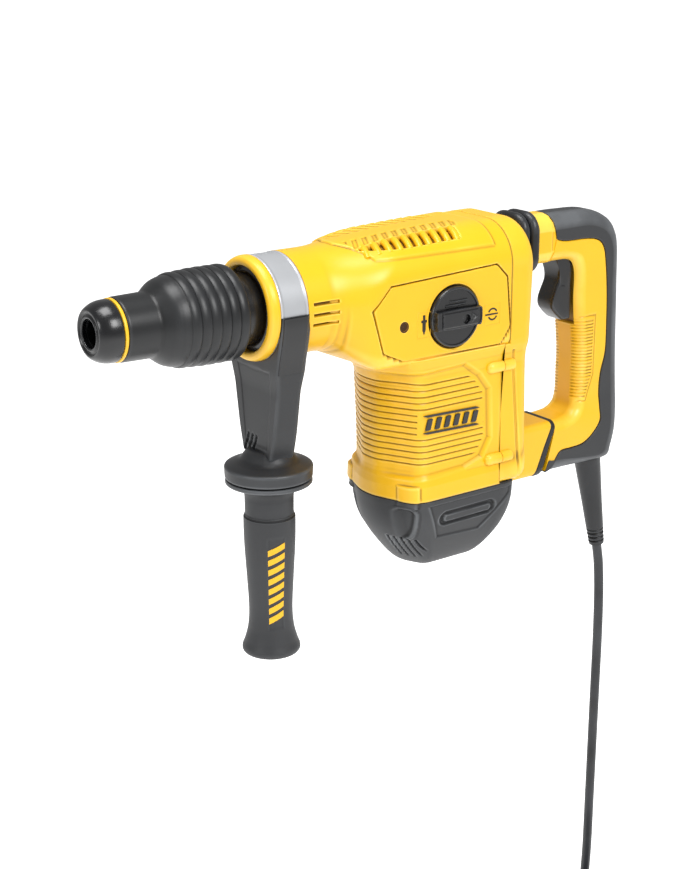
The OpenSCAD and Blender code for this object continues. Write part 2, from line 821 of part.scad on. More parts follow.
module rear_housing() {
    stub_x1 = handle_x0 - 11;
    stub_x2 = handle_x0 + 1;
    color(yellow) placed() difference() {
        union() {
            difference() {
                rear_solid(0, cover_x1 + 0.01);
                rear_solid(shell_wall, cover_x1 - 1);
            }
            side_plate(bridge_half_w) polygon([
                [rear_x1 - 6, opening_z0], [stub_x2, opening_z0], [stub_x2, opening_z0 - 5],
                [stub_x1 + 5, opening_z0 - 20], [stub_x1 - 4, handle_bottom_z],
                [rear_x1 - 6, handle_bottom_z + 12]
            ]);
            intersection() {
                screw_shafts(screw_head_r + 2.6, cover_x1 + 0.01, cover_x1 + 11);
                box(cover_x1, rear_x1, -cover_half_w, cover_half_w, -200, 0);
            }
        }
        side_plate(9) polygon([
            [pivot[0] - 16, pivot[1] + 13], [handle_x0 + 20, pivot[1] + 13],
            [handle_x0 + 20, pivot[1] - 12], [pivot[0] - 16, pivot[1] - 12]
        ]);
        screw_shafts(screw_r, cover_x1 - 1, cover_x1 + 7);
        screw_shafts(screw_head_r, cover_x1 + 6, rear_x1 + 1);
        translate([pivot[0], 0, pivot[1]]) rod_y(-bridge_half_w - 1, bridge_half_w + 1, pivot_r);
    }
}

// --- Side handle ----------------------------------------------------------

module clamp_band() {
    color(band_grey) placed()
        tube_x(bracket_x0, bracket_x1, barrel_r, band_seat_r + run_gap);
}

module handle_bracket() {
    stem_z = 6 + flange_t - flange_drop;
    color(dark_grey) placed() difference() {
        union() {
            hull() {
                box(bracket_x0, bracket_x1, -saddle_half_w, saddle_half_w, -6, -1);
                box(handle_axis_x - 10, handle_axis_x + 10, -stem_half_w, stem_half_w,
                    stem_z, stem_z + 1);
            }
            translate([handle_axis_x, 0, 0]) {
                rod_z(flange_t - flange_drop - 1, stem_z + 1, stem_half_w + 2);
                rod_z(-flange_drop, flange_t - flange_drop, flange_r);
            }
        }
        rod_x(bracket_x0 - 1, bracket_x1 + 1, barrel_r);
        translate([handle_axis_x, 0, 0]) rod_z(-flange_drop - 1, bolt_top_z, clamp_bolt_r + fit_gap);
    }
}

module side_grip() {
    z0 = grip_top_z - grip_flange_t;
    zb = z0 - side_grip_l;
    r = side_grip_r;
    color(dark_grey) placed() translate([handle_axis_x, 0, 0]) turned_z([
        [clamp_bolt_r, grip_top_z], [flange_r - 0.4, grip_top_z], [flange_r - 0.4, z0 + 0.6],
        [r + 4, z0 - 3], [r, z0 - 6], [r - 0.6, z0 - 8], [r - 0.6, z0 - 23], [r, z0 - 24],
        [r, z0 - 27], [r - 1.2, z0 - 60], [r - 2.4, z0 - 90], [r - 2.2, z0 - 100],
        [r + 0.4, z0 - 110], [r + 2.9, z0 - 119], [r + 2.9, zb + 5], [r, zb + 1], [0, zb],
        [0, z0 - 62], [clamp_bolt_r, z0 - 62]
    ]);
}

module clamp_bolt() {
    color(steel) placed() translate([handle_axis_x, 0, 0])
        rod_z(grip_top_z - grip_flange_t - 62, bolt_top_z - 2, clamp_bolt_r);
}

// --- Rear handle ----------------------------------------------------------

// Slab across the bellows: a rounded rectangle standing in the Y-Z plane.
module bellows_slab(x0, x1, grow) {
    translate([x0, 0, 0]) rotate([90, 0, 90]) linear_extrude(x1 - x0)
        round_rect(-17 - grow, 17 + grow, -4 - grow, 38 + grow, 12);
}

module upper_bellows() {
    l = handle_x0 - run_gap - bellows_x0;
    color(black) placed() translate([bellows_x0, 0, 0]) difference() {
        union() {
            bellows_slab(0, l, 0);
            bellows_slab(0.14 * l, 0.42 * l, 3);
            bellows_slab(0.58 * l, 0.86 * l, 3);
        }
        translate([0, 0, 17]) rod_x(-1, l + 1, 13);
    }
}

module damper_spring() {
    color(steel) placed() translate([bellows_x0 + run_gap, 0, 17]) rotate([0, 90, 0])
        coil_spring_z(0, handle_x0 - bellows_x0 - 2 * run_gap, 9.5, 1.4, 6);
}

// Rubber ring that closes the lower joint round the pivot lug.
module joint_gasket() {
    x0 = handle_x0 + 1.4;
    color(black) placed() difference() {
        side_plate(bridge_half_w) polygon([
            [x0, opening_z0], [x0 + 6.4, opening_z0], [x0 + 6.4, opening_z0 - 5],
            [x0 - 1, opening_z0 - 20], [x0 - 8, handle_bottom_z], [x0 - 16, handle_bottom_z],
            [x0 - 7, opening_z0 - 20], [x0, opening_z0 - 5]
        ]);
        side_plate(9.4) polygon([
            [x0 - 30, pivot[1] + 13], [x0 + 20, pivot[1] + 13],
            [x0 + 20, pivot[1] - 12], [x0 - 30, pivot[1] - 12]
        ]);
    }
}

module pivot_pin() {
    color(steel) placed() translate([pivot[0], 0, pivot[1]])
        rod_y(0.5 - bridge_half_w, bridge_half_w - 0.5, pivot_r);
}

// Outer outline of the D, from the bellows round the back to the lower joint.
module handle_outline() {
    r = grip_rear_x;
    polygon([
        [handle_x0, upper_z0], [handle_x0, upper_z1], [r - 36, upper_z1 - 0.5],
        [r - 18, upper_z1 - 5], [r - 7, upper_z1 - 15], [r - 3, upper_z1 - 29], [r - 1, -25],
        [r + 2, -80], [r + 3.5, opening_z0], [r + 1, opening_z0 - 16],
        [r - 4, handle_bottom_z + 8], [r - 10, handle_bottom_z],
        [handle_x0 - 4, handle_bottom_z], [handle_x0 + 3, opening_z0 - 20],
        [handle_x0 + 8.2, opening_z0 - 5], [handle_x0 + 8.2, opening_z0]
    ]);
}

// The finger opening between the grip, the bridges and the housing.
module finger_gap() {
    x1 = grip_front_x;
    x0 = handle_x0 - 40;
    polygon([
        [x0, upper_z0], [x1 - 6, upper_z0], [x1, upper_z0 - 10], [x1, opening_z0 + 10],
        [x1 - 6, opening_z0], [x0, opening_z0]
    ]);
}

// The part of the outline that the soft cover takes: top, back and underside.
module cover_band() {
    r = grip_rear_x;
    polygon([
        [handle_x0 - 60, upper_z1 + 5], [handle_x0 - 60, upper_z1 - 21],
        [r - 34, upper_z1 - 21.5], [r - 25, upper_z1 - 27], [r - 17.5, upper_z1 - 60],
        [r - 17.5, opening_z0 + 46], [r - 22, opening_z0 + 32], [r - 22.5, opening_z0 + 8],
        [r - 21, opening_z0 - 8], [r - 40, opening_z0 - 23], [handle_x0 + 13, opening_z0 - 25],
        [handle_x0 + 2, handle_bottom_z - 1], [r + 20, handle_bottom_z - 1], [r + 20, upper_z1 + 5]
    ]);
}

module handle_shell() {
    color(yellow) placed() difference() {
        union() {
            side_plate(grip_half_w) difference() {
                handle_outline();
                finger_gap();
                cover_band();
            }
            side_plate(bridge_half_w) intersection() {
                difference() {
                    handle_outline();
                    finger_gap();
                    cover_band();
                }
                polygon([[handle_x0 - 30, opening_z0], [grip_rear_x - 24, opening_z0],
                    [grip_rear_x - 24, -300], [handle_x0 - 30, -300]]);
            }
            side_plate(8) polygon([
                [pivot[0] - 9, pivot[1] + 9], [handle_x0 + 12, pivot[1] + 9],
                [handle_x0 + 8, pivot[1] - 8], [pivot[0] - 9, pivot[1] - 8]
            ]);
        }
        translate([pivot[0], 0, pivot[1]]) rod_y(-9, 9, pivot_r + fit_gap);
        side_plate(trigger_half_w + run_gap) polygon([
            [handle_x0 + 6, 12], [grip_front_x + 20, 12],
            [grip_front_x + 20, -52], [handle_x0 + 6, -52]
        ]);
        translate([trigger_axis[0], 0, trigger_axis[1]])
            rod_y(-trigger_half_w - 4, trigger_half_w + 4, trigger_pin_r + fit_gap);
    }
}

module handle_cover() {
    color(dark_grey) placed() difference() {
        side_plate(grip_half_w) intersection() {
            handle_outline();
            cover_band();
        }
        translate([relief_top[0], 0, relief_top[1]]) rotate([0, -11.2, 0])
            translate([0, 0, -20]) cylinder(r = 9.4, h = 26);
    }
}

module trigger() {
    a = trigger_axis;
    color(black) placed() union() {
        side_plate(trigger_half_w) polygon([
            [a[0] - 8, a[1] + 4], [a[0] + 6, a[1] + 4], [a[0] + 8, a[1] - 15],
            [a[0] + 8, a[1] - 52], [a[0] + 1, a[1] - 52.5], [a[0] - 9, a[1] - 47],
            [a[0] - 16, a[1] - 39.5], [a[0] - 14, a[1] - 30], [a[0] - 8.5, a[1] - 20],
            [a[0] - 11, a[1] - 5]
        ]);
        translate([a[0], 0, a[1]])
            rod_y(-trigger_half_w - 3.5, trigger_half_w + 3.5, trigger_pin_r);
    }
}

module trigger_switch() {
    x0 = grip_front_x + 6.5;
    color(black) placed() box(x0, grip_front_x + 19.5, -trigger_half_w + 0.2,
        trigger_half_w - 0.2, -50, 2);
}

module trigger_spring() {
    x0 = trigger_axis[0] + 8.3;
    color(steel) placed() translate([x0, 0, -34]) rotate([0, 90, 0])
        coil_spring_z(0, grip_front_x + 6.3 - x0, 3.4, 0.5, 4, 10);
}

// --- Mains lead -----------------------------------------------------------

module bend_relief() {
    color(black) placed() translate([relief_top[0], 0, relief_top[1]])
        rotate([0, -11.2, 0]) translate([0, 0, -relief_l]) difference() {
            turned_z([
                [0, 0], [cord_r + 2.4, 0], [cord_r + 3.2, 4], [cord_r + 6.2, relief_l - 14],
                [cord_r + 7, relief_l - 6], [9.2, relief_l - 6], [9.2, relief_l + 4],
                [0, relief_l + 4]
            ]);
        }
}

module mains_cord() {
    color(black) placed() union() {
        swept_tube(curve(cord_route, 4), cord_r, 10, [0, 1, 0.1]);
        swept_tube(curve(tail_route, 3), cord_r, 10, [0, 0, 1]);
    }
}

module cord_coil() {
    color(black) placed() translate(coil_centre + [0, 0, coil_bundle_r]) rotate_extrude()
        translate([coil_r, 0]) circle(coil_bundle_r);
}

module cord_tie() {
    r = coil_bundle_r + 1.4;
    color(black) placed() translate(coil_centre + [coil_r, 0, coil_bundle_r]) rotate([90, 0, 0])
        tube_z(-5, 5, r + 1.4, r);
}

module plug_body() {
    color(black) placed() translate(plug_end) rod_y(-plug_l, 0, plug_r);
}

module plug_pins() {
    color(steel) placed() translate(plug_end)
        for (x = [-9.5, 9.5]) translate([x, 0, 0]) rod_y(-plug_l - 19, -plug_l, 2.4);
}

// --- Assembly -------------------------------------------------------------

dust_cap();
retaining_ring();
tool_holder();
locking_segment_top();
locking_segment_bottom();
locking_sleeve();
sleeve_spring();
nose_flange();
beat_piece();
beat_bush();
cylinder_tube();
ram();
ram_ring();
piston();
piston_ring();
wrist_pin();
connecting_rod();
crank_gear();
crank_bearing();
spindle_bush_front();
spindle_bush_rear();
gear_case();
gear_cover();
selector_panel();
selector_knob();
selector_shaft();
motor_housing();
motor_end_cap();
rear_housing();
field_core();
armature_shaft();
armature_core();
commutator();
cooling_fan();
pinion();
upper_bearing();
lower_bearing();
brush_bridge();
carbon_brushes();
control_module();
housing_screws();
clamp_band();
handle_bracket();
side_grip();
clamp_bolt();
upper_bellows();
damper_spring();
joint_gasket();
pivot_pin();
handle_shell();
handle_cover();
trigger();
trigger_switch();
trigger_spring();
bend_relief();
mains_cord();
cord_coil();
cord_tie();
plug_body();
plug_pins();
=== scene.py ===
"""Dresses a chipping hammer: surfaces, finishes, lead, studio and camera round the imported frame.

Every shape is worked out in millimetres in the hammer frame: X runs backwards along the
hammer axis from the rear face of the front collar, Z is up, and -Y is the selector's side.
"""

import json
import logging
import math
from dataclasses import dataclass, field
from enum import Enum
from typing import Optional, Sequence

import bpy
import numpy as np
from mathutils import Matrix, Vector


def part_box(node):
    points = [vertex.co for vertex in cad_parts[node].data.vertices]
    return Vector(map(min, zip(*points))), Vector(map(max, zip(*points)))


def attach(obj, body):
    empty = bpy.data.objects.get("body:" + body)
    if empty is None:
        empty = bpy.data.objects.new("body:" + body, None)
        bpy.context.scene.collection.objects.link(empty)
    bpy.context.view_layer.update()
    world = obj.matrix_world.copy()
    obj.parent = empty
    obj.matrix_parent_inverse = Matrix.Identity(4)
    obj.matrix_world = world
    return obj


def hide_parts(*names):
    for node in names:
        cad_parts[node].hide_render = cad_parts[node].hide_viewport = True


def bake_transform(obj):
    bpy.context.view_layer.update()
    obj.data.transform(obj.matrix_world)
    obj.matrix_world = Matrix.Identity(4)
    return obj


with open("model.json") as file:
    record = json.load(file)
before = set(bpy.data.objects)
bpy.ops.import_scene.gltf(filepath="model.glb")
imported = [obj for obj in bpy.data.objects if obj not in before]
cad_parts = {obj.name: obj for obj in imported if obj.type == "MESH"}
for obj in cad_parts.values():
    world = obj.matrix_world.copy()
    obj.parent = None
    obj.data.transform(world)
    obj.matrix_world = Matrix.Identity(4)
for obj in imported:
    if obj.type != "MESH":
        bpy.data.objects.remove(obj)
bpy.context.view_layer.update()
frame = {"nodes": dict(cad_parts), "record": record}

Array = np.ndarray
log = logging.getLogger("hammer")


# --- Numbers and curves ---


def smooth(low: float | Array, high: float | Array, value: Array) -> Array:
    """Rises from 0 at low to 1 at high along 3t^2 - 2t^3.

    Args:
        low: Where the rise starts.
        high: Where it ends.
        value: The numbers to map.
    Returns:
        Numbers from 0 to 1.
    """
    t = np.clip((value - low) / (high - low), 0.0, 1.0)
    return t * t * (3.0 - 2.0 * t)


def window(low: float, high: float, edge: float, value: Array) -> Array:
    """Is 1 between low and high and falls to 0 within edge outside them."""
    return smooth(low - edge, low, value) * (1.0 - smooth(high, high + edge, value))


def rounded(points: Sequence, radius: float | Sequence, steps: int = 5,
        closed: bool = False) -> Array:
    """Rounds the corners of a polyline.

    Each corner P becomes the curve (1-t)^2 A + 2t(1-t) P + t^2 B, where A and B lie on the
    two sides at the corner's radius from P, or just under half a side where that is shorter.

    Args:
        points: Corners, one row each.
        radius: How far from each corner its curve starts.
        steps: Points on each curve.
        closed: Whether the last corner joins the first.
    Returns:
        The rounded line without repeated points.
    """
    p = np.asarray(points, float)
    before, after = np.roll(p, 1, 0) - p, np.roll(p, -1, 0) - p
    len_a = np.linalg.norm(before, axis=1, keepdims=True) + 1e-12
    len_b = np.linalg.norm(after, axis=1, keepdims=True) + 1e-12
    reach = np.broadcast_to(np.asarray(radius, float), (len(p),))[:, None]
    a = p + before / len_a * np.minimum(reach, 0.49 * len_a)
    b = p + after / len_b * np.minimum(reach, 0.49 * len_b)
    t = np.linspace(0.0, 1.0, steps)[None, :, None]
    bent = (1 - t) ** 2 * a[:, None] + 2 * t * (1 - t) * p[:, None] + t**2 * b[:, None]
    if closed:
        line = bent.reshape(-1, p.shape[1])
    else:
        line = np.vstack([p[:1], bent[1:-1].reshape(-1, p.shape[1]), p[-1:]])
    keep = np.linalg.norm(line - np.roll(line, 1, 0), axis=1) > 1e-4
    keep[0] = True
    return line[keep]


def even(line: Array, count: int, closed: bool = False) -> Array:
    """Places count points evenly by length along a polyline."""
    p = np.vstack([line, line[:1]]) if closed else line
    run = np.r_[0.0, np.cumsum(np.linalg.norm(np.diff(p, axis=0), axis=1))]
    at = np.linspace(0.0, run[-1], count, endpoint=not closed)
    return np.stack([np.interp(at, run, p[:, k]) for k in range(p.shape[1])], 1)


def flowing(points: Sequence, steps: int) -> Array:
    """Runs a Catmull-Rom curve through chosen points.

    Between B and C, with neighbours A and D, a point is half of
    2B + (C-A)t + (2A-5B+4C-D)t^2 + (3B-A-3C+D)t^3.

    Args:
        points: The points that the curve passes.
        steps: Points on each span.
    Returns:
        The curve, with the last chosen point at its end.
    """
    p = np.asarray(points, float)
    q = np.vstack([p[:1], p, p[-1:]])
    a, b, c, d = (q[k:len(q) - 3 + k, None] for k in range(4))
    t = np.linspace(0.0, 1.0, steps, endpoint=False)[None, :, None]
    bent = 0.5 * (2 * b + (c - a) * t + (2 * a - 5 * b + 4 * c - d) * t**2
        + (3 * b - a - 3 * c + d) * t**3)
    return np.vstack([bent.reshape(-1, p.shape[1]), p[-1:]])


def fine_steps(low: float, high: float, step: float,
        dense: Sequence[tuple[float, float, float]] = ()) -> Array:
    """Places numbers from low to high whose spacing shrinks in chosen stretches.

    The density is 1/step plus what each stretch adds, and the numbers sit at equal shares
    of its running sum.

    Args:
        low: The first number.
        high: The last number.
        step: The usual spacing.
        dense: Stretches as (from, to, spacing there).
    Returns:
        The rising numbers.
    """
    probe = np.linspace(low, high, 4001)
    weight = np.full(probe.shape, 1.0 / step)
    for start, stop, spacing in dense:
        weight = np.maximum(weight, np.where((probe >= start) & (probe <= stop), 1.0 / spacing, 0))
    run = np.r_[0.0, np.cumsum((weight[1:] + weight[:-1]) / 2 * np.diff(probe))]
    return np.interp(np.linspace(0.0, run[-1], int(round(run[-1])) + 1), run, probe)


def polygon_depth(x: Array, y: Array, corners: Sequence) -> Array:
    """Signed distance into a convex polygon: the least distance to any side's line.

    Args:
        x: First coordinates.
        y: Second coordinates.
        corners: Corners in order round the polygon.
    Returns:
        Positive numbers inside, negative outside.
    """
    p = np.asarray(corners, float)
    q = np.roll(p, -1, 0)
    area = np.sum(p[:, 0] * q[:, 1] - q[:, 0] * p[:, 1])
    side = (q - p) / np.linalg.norm(q - p, axis=1, keepdims=True) * np.sign(area)
    away = (np.stack([x, y], -1)[..., None, :] - p)
    return np.min(side[:, 0] * away[..., 1] - side[:, 1] * away[..., 0], axis=-1)


# --- Grids and meshes ---


def joined(x: Array, y: Array, z: Array) -> Array:
    """Points from three coordinate arrays, each stretched to the shape they share."""
    return np.stack(np.broadcast_arrays(x, y, z), -1)


def grid_normals(grid: Array, wrap: bool) -> Array:
    """Unit normals of a grid from the cross product of its row and column differences.

    Args:
        grid: Rows of columns of points.
        wrap: Whether the last column joins the first.
    Returns:
        One normal a point, turned away from each row's middle on the whole.
    """
    down = np.gradient(grid, axis=0)
    if wrap:
        along = np.roll(grid, -1, 1) - np.roll(grid, 1, 1)
    else:
        along = np.gradient(grid, axis=1)
    normal = np.cross(down, along)
    normal /= np.linalg.norm(normal, axis=-1, keepdims=True) + 1e-12
    outward = grid - grid.mean(axis=(0, 1), keepdims=True)
    return normal * (1.0 if np.sum(normal * outward) > 0 else -1.0)


def edge_marks(grid: Array, wrap: bool, reach: int = 2) -> tuple[Array, Array]:
    """Finds edges and creases as the height of each point over its neighbours' middle.

    Args:
        grid: Rows of columns of points, in millimetres.
        wrap: Whether the last column joins the first.
        reach: How many rows and columns away the neighbours are.
    Returns:
        Edge and crease marks from 0 to 1; the crease marks darken the colour as painted shade.
    """
    padded_rows = np.concatenate([np.repeat(grid[:1], reach, 0), grid,
        np.repeat(grid[-1:], reach, 0)])
    rows = (padded_rows[:-2 * reach] + padded_rows[2 * reach:]) / 2
    if wrap:
        columns = (np.roll(grid, reach, 1) + np.roll(grid, -reach, 1)) / 2
    else:
        padded = np.concatenate([np.repeat(grid[:, :1], reach, 1), grid,
            np.repeat(grid[:, -1:], reach, 1)], 1)
        columns = (padded[:, :-2 * reach] + padded[:, 2 * reach:]) / 2
    height = np.sum((2 * grid - rows - columns) * grid_normals(grid, wrap), -1)
    return np.clip(height / 0.7, 0, 1), np.clip(-height / 0.7, 0, 1)


@dataclass(frozen=True)
class Datum:
    """Place of the hammer frame in the row frame, in metres."""

    x: float
    y: float
    z: float

    @classmethod
    def from_frame(cls, band_gap: float = 0.0004) -> "Datum":
        """Finds it from the clamp band, which stands band_gap behind the collar's rear face."""
        low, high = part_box("clamp_band")
        return cls(low.x - band_gap, (low.y + high.y) / 2, (low.z + high.z) / 2)

    def place(self, points: Array) -> Array:
        """Millimetres in the hammer frame as metres in the row frame."""
        return np.asarray(points, float) * 0.001 + np.array([self.x, self.y, self.z])


def write_mesh(name: str, datum: Datum, points: Array, quads: Array, triangles: Array,
        marks: dict[str, Array], sharp: float = 42.0) -> bpy.types.Object:
    """Writes arrays into a mesh object whose faces point outwards.

    The sum over faces of a . (b x c) is six times the volume, so a negative sum turns
    every face round.

    Args:
        name: Name of the piece.
        datum: Place of the hammer frame.
        points: Vertices in millimetres.
        quads: Vertex numbers of the four-sided faces.
        triangles: Vertex numbers of the three-sided faces.
        marks: Float attributes, one number a vertex.
        sharp: Angle in degrees above which an edge stays sharp.
    Returns:
        The object, in the scene.
    """
    three = np.vstack([quads[:, [0, 1, 2]], quads[:, [0, 2, 3]], triangles])
    a, b, c = (points[three[:, k]] for k in range(3))
    if np.sum(a * np.cross(b, c)) < 0:
        quads, triangles = quads[:, ::-1], triangles[:, ::-1]
    mesh = bpy.data.meshes.new(name)
    mesh.vertices.add(len(points))
    mesh.vertices.foreach_set("co", datum.place(points).astype(np.float32).ravel())
    loops = np.r_[quads.ravel(), triangles.ravel()].astype(np.int32)
    mesh.loops.add(len(loops))
    mesh.loops.foreach_set("vertex_index", loops)
    mesh.polygons.add(len(quads) + len(triangles))
    starts = np.r_[np.arange(len(quads)) * 4, len(quads) * 4 + np.arange(len(triangles)) * 3]
    mesh.polygons.foreach_set("loop_start", starts.astype(np.int32))
    mesh.polygons.foreach_set("use_smooth", np.ones(len(starts), bool))
    for mark, values in marks.items():
        layer = mesh.attributes.new(mark, "FLOAT", "POINT")
        layer.data.foreach_set("value", np.asarray(values, np.float32).ravel())
    mesh.update(calc_edges=True)
    mesh.validate()
    mesh.set_sharp_from_angle(angle=math.radians(sharp))
    piece = bpy.data.objects.new(name, mesh)
    bpy.context.scene.collection.objects.link(piece)
    return piece


def ring_faces(rows: int, columns: int, wrap_rows: bool) -> tuple[Array, Array]:
    """Faces between neighbouring rings, and the fans that close both ends.

    Args:
        rows: Number of rings.
        columns: Points on each ring.
        wrap_rows: Whether the last ring joins the first, which leaves no ends to close.
    Returns:
        Four-sided faces, and triangles to two middle points numbered after the rings.
    """
    number = np.arange(rows * columns).reshape(rows, columns)
    ring = np.concatenate([number, number[:, :1]], 1)
    if wrap_rows:
        ring = np.concatenate([ring, ring[:1]], 0)
    quads = np.stack([ring[:-1, :-1], ring[:-1, 1:], ring[1:, 1:], ring[1:, :-1]], -1)
    if wrap_rows:
        return quads.reshape(-1, 4), np.zeros((0, 3), int)
    poles = [np.full(columns, rows * columns + k) for k in (0, 1)]
    first = np.stack([ring[0, 1:], ring[0, :-1], poles[0]], -1)
    last = np.stack([ring[-1, :-1], ring[-1, 1:], poles[1]], -1)
    return quads.reshape(-1, 4), np.vstack([first, last])


def skin(name: str, datum: Datum, grid: Array, wrap_rows: bool = False,
        crease: Optional[Array] = None) -> bpy.types.Object:
    """Closes a grid of rings into a mesh.

    Args:
        name: Name of the piece.
        datum: Place of the hammer frame.
        grid: Rings of points in millimetres, the last point of a ring joining the first.
        wrap_rows: Whether the last ring joins the first, as in a tube with a wall. The
            ends get a fan round their middle otherwise.
        crease: Extra crease marks from 0 to 1, such as a thin seam, which darken the colour as
            painted shade.
    Returns:
        The object.
    """
    quads, triangles = ring_faces(*grid.shape[:2], wrap_rows)
    points = grid.reshape(-1, 3)
    edge, dent = edge_marks(grid, True)
    if crease is not None:
        dent = np.maximum(dent, crease)
    edge, dent = edge.ravel(), dent.ravel()
    if not wrap_rows:
        points = np.vstack([points, grid[0].mean(0), grid[-1].mean(0)])
        edge, dent = np.r_[edge, 0, 0], np.r_[dent, 0, 0]
    return write_mesh(name, datum, points, quads, triangles, {"edge": edge, "crease": dent})


def turned(profile: Array, columns: int = 128, centre: Sequence[float] = (0, 0, 0),
        axis: str = "x") -> Array:
    """Turns a profile round an axis: a point (s, r) becomes s along it and r round it.

    Args:
        profile: Rows of distance along the axis and radius.
        columns: Points round the axis.
        centre: A point on the axis.
        axis: x, y or z.
    Returns:
        A grid with one ring a profile point.
    """
    w = np.linspace(0, 2 * np.pi, columns, endpoint=False)
    s = np.repeat(profile[:, :1], columns, 1)
    u, v = profile[:, 1:] * np.cos(w), profile[:, 1:] * np.sin(w)
    order = {"x": (s, u, v), "y": (v, s, u), "z": (u, v, s)}[axis]
    return np.stack(order, -1) + np.asarray(centre, float)


def tube(path: Array, radius: float | Array, columns: int = 16, guide: Sequence[float] = (0, 1, 0),
        stretch: Sequence[float] = (1, 1)) -> Array:
    """Carries a ring along a path, kept steady by a guide direction.

    With tangent T, the ring lies in U = guide x T and V = T x U at P + r (cos w U + sin w V).

    Args:
        path: Points of the path.
        radius: One radius, or one a point.
        columns: Points on the ring.
        guide: A direction that the path never runs along.
        stretch: Shares of the radius along U and V.
    Returns:
        A grid with one ring a path point.
    """
    t = np.gradient(path, axis=0)
    t /= np.linalg.norm(t, axis=1, keepdims=True)
    u = np.cross(np.broadcast_to(np.asarray(guide, float), t.shape), t)
    u /= np.linalg.norm(u, axis=1, keepdims=True)
    v = np.cross(t, u)
    w = np.linspace(0, 2 * np.pi, columns, endpoint=False)[None, :, None]
    r = np.broadcast_to(np.asarray(radius, float), (len(path),))[:, None, None]
    return path[:, None] + r * (stretch[0] * np.cos(w) * u[:, None] + stretch[1] * np.sin(w)
        * v[:, None])


def slab(outline: Array, y_front: float, y_back: float, round_over: float = 0.3,
        steps: int = 3) -> Array:
    """Stands an X-Z outline up as a plate between two Y planes with softened rims.

    Rings shrink towards the outline's middle by the share that round_over takes of the
    outline's size, along a quarter circle.

    Args:
        outline: Points of X and Z round the plate.
        y_front: Y of the face that shows.
        y_back: Y of the hidden face.
        round_over: Radius of the rim.
        steps: Rings on each rim.
    Returns:
        A grid of rings from the back face to the front face.
    """
    middle = outline.mean(0)
    away = outline - middle
    size = np.linalg.norm(away, axis=1, keepdims=True)
    w = np.linspace(0, np.pi / 2, steps + 1)
    sign = np.sign(y_front - y_back)
    shrink = np.r_[0.0, round_over * (1 - np.cos(w)), round_over + size.min() * 0.5]
    level = np.r_[y_back, y_front - sign * round_over * (1 - np.sin(w)), y_front]
    ring = middle + away[None] * (1 - shrink[:, None, None] / size[None])
    return joined(ring[..., 0], level[:, None], ring[..., 1])


# --- Finishes ---


def tint(code: str) -> tuple[float, float, float, float]:
    """Scene-linear colour of a #rrggbb code, from the sRGB curve's inverse."""
    parts = np.array([int(code[k:k + 2], 16) for k in (1, 3, 5)]) / 255.0
    linear = np.where(parts <= 0.04045, parts / 12.92, ((parts + 0.055) / 1.055) ** 2.4)
    return (*[float(v) for v in linear], 1.0)


class Texture(Enum):
    """Kinds of surface texture."""

    SPARKED = "spark-eroded mould grain"
    SOFT = "soft-touch rubber"
    GLOSS = "smooth moulding"
    BRUSHED = "brushed round an axis"
    CAST = "cast metal"


@dataclass(frozen=True)
class Finish:
    """One finish: its colours, gloss and texture.

    Sizes are in metres, and roughness is from 0, polished, to 1, matt.
    """

    name: str
    colour: str
    worn: str
    # Colour that creases and seams darken towards: painted shade.
    crease_shade: str
    roughness: float
    texture: Texture
    grain_size: float = 0.0004
    grain_height: float = 0.00002
    metallic: float = 0.0
    coat: float = 0.0
    mottle: float = 0.04


# The third colour of each finish is the painted shade in its creases and seams.
YELLOW = Finish("yellow_abs", "#eeb60c", "#ffdc62", "#4a3000", 0.38, Texture.SPARKED, 0.00045,
    0.000012, coat=0.10)
YELLOW_TEXTURED = Finish("yellow_abs_matt", "#e9b00c", "#ffdc62", "#4a3000", 0.46, Texture.SPARKED,
    0.0006, 0.00003, coat=0.05)
BROWN = Finish("shaded_bore", "#7a4c08", "#b07a20", "#1c1000", 0.6, Texture.SPARKED, 0.0005,
    0.00002)
SOFT_GREY = Finish("soft_grey_rubber", "#2e2f31", "#6c6f72", "#0e0f10", 0.5, Texture.SOFT, 0.0005,
    0.00002, mottle=0.06)
NYLON_GREY = Finish("dark_grey_nylon", "#252628", "#64676a", "#0a0b0c", 0.42, Texture.SPARKED,
    0.0006, 0.00002, mottle=0.06)
BLACK_RUBBER = Finish("black_rubber", "#111214", "#3c3e42", "#030303", 0.4, Texture.SOFT, 0.0005,
    0.00002, mottle=0.08)
BLACK_GLOSS = Finish("black_moulding", "#0a0a0c", "#484b4f", "#020202", 0.24, Texture.GLOSS,
    0.0008, 0.000006, coat=0.2)
SLEEVE_GREY = Finish("sleeve_nylon", "#121314", "#585a5e", "#060607", 0.38, Texture.SPARKED,
    0.0004, 0.000015, mottle=0.06)
LABEL_INK = Finish("printed_black", "#26221c", "#3a352c", "#15120c", 0.5, Texture.GLOSS)
BAND_METAL = Finish("clamp_band_steel", "#aeb0b3", "#e6e8ec", "#5c5e62", 0.36, Texture.BRUSHED,
    0.0007, 0.000006, metallic=0.35, coat=0.1)
STEEL = Finish("ground_steel", "#8d9197", "#c9ccd1", "#26282a", 0.32, Texture.BRUSHED, 0.0006,
    0.000008, metallic=1.0)
DARK_STEEL = Finish("blackened_steel", "#3a3c3f", "#83868b", "#0c0c0d", 0.36, Texture.BRUSHED,
    0.0005, 0.000008, metallic=1.0)
CAST = Finish("cast_alloy", "#8c9095", "#b9bcc0", "#3c3e40", 0.55, Texture.CAST, 0.0012, 0.00006,
    metallic=0.8)
COPPER = Finish("wound_copper", "#b4703a", "#e0a070", "#4a2410", 0.4, Texture.BRUSHED, 0.0008,
    0.00003, metallic=0.9)
BRASS = Finish("plug_brass", "#c9a558", "#efd9a0", "#5c4515", 0.28, Texture.BRUSHED, 0.0005,
    0.000006, metallic=1.0)


Value = bpy.types.NodeSocket | float | tuple


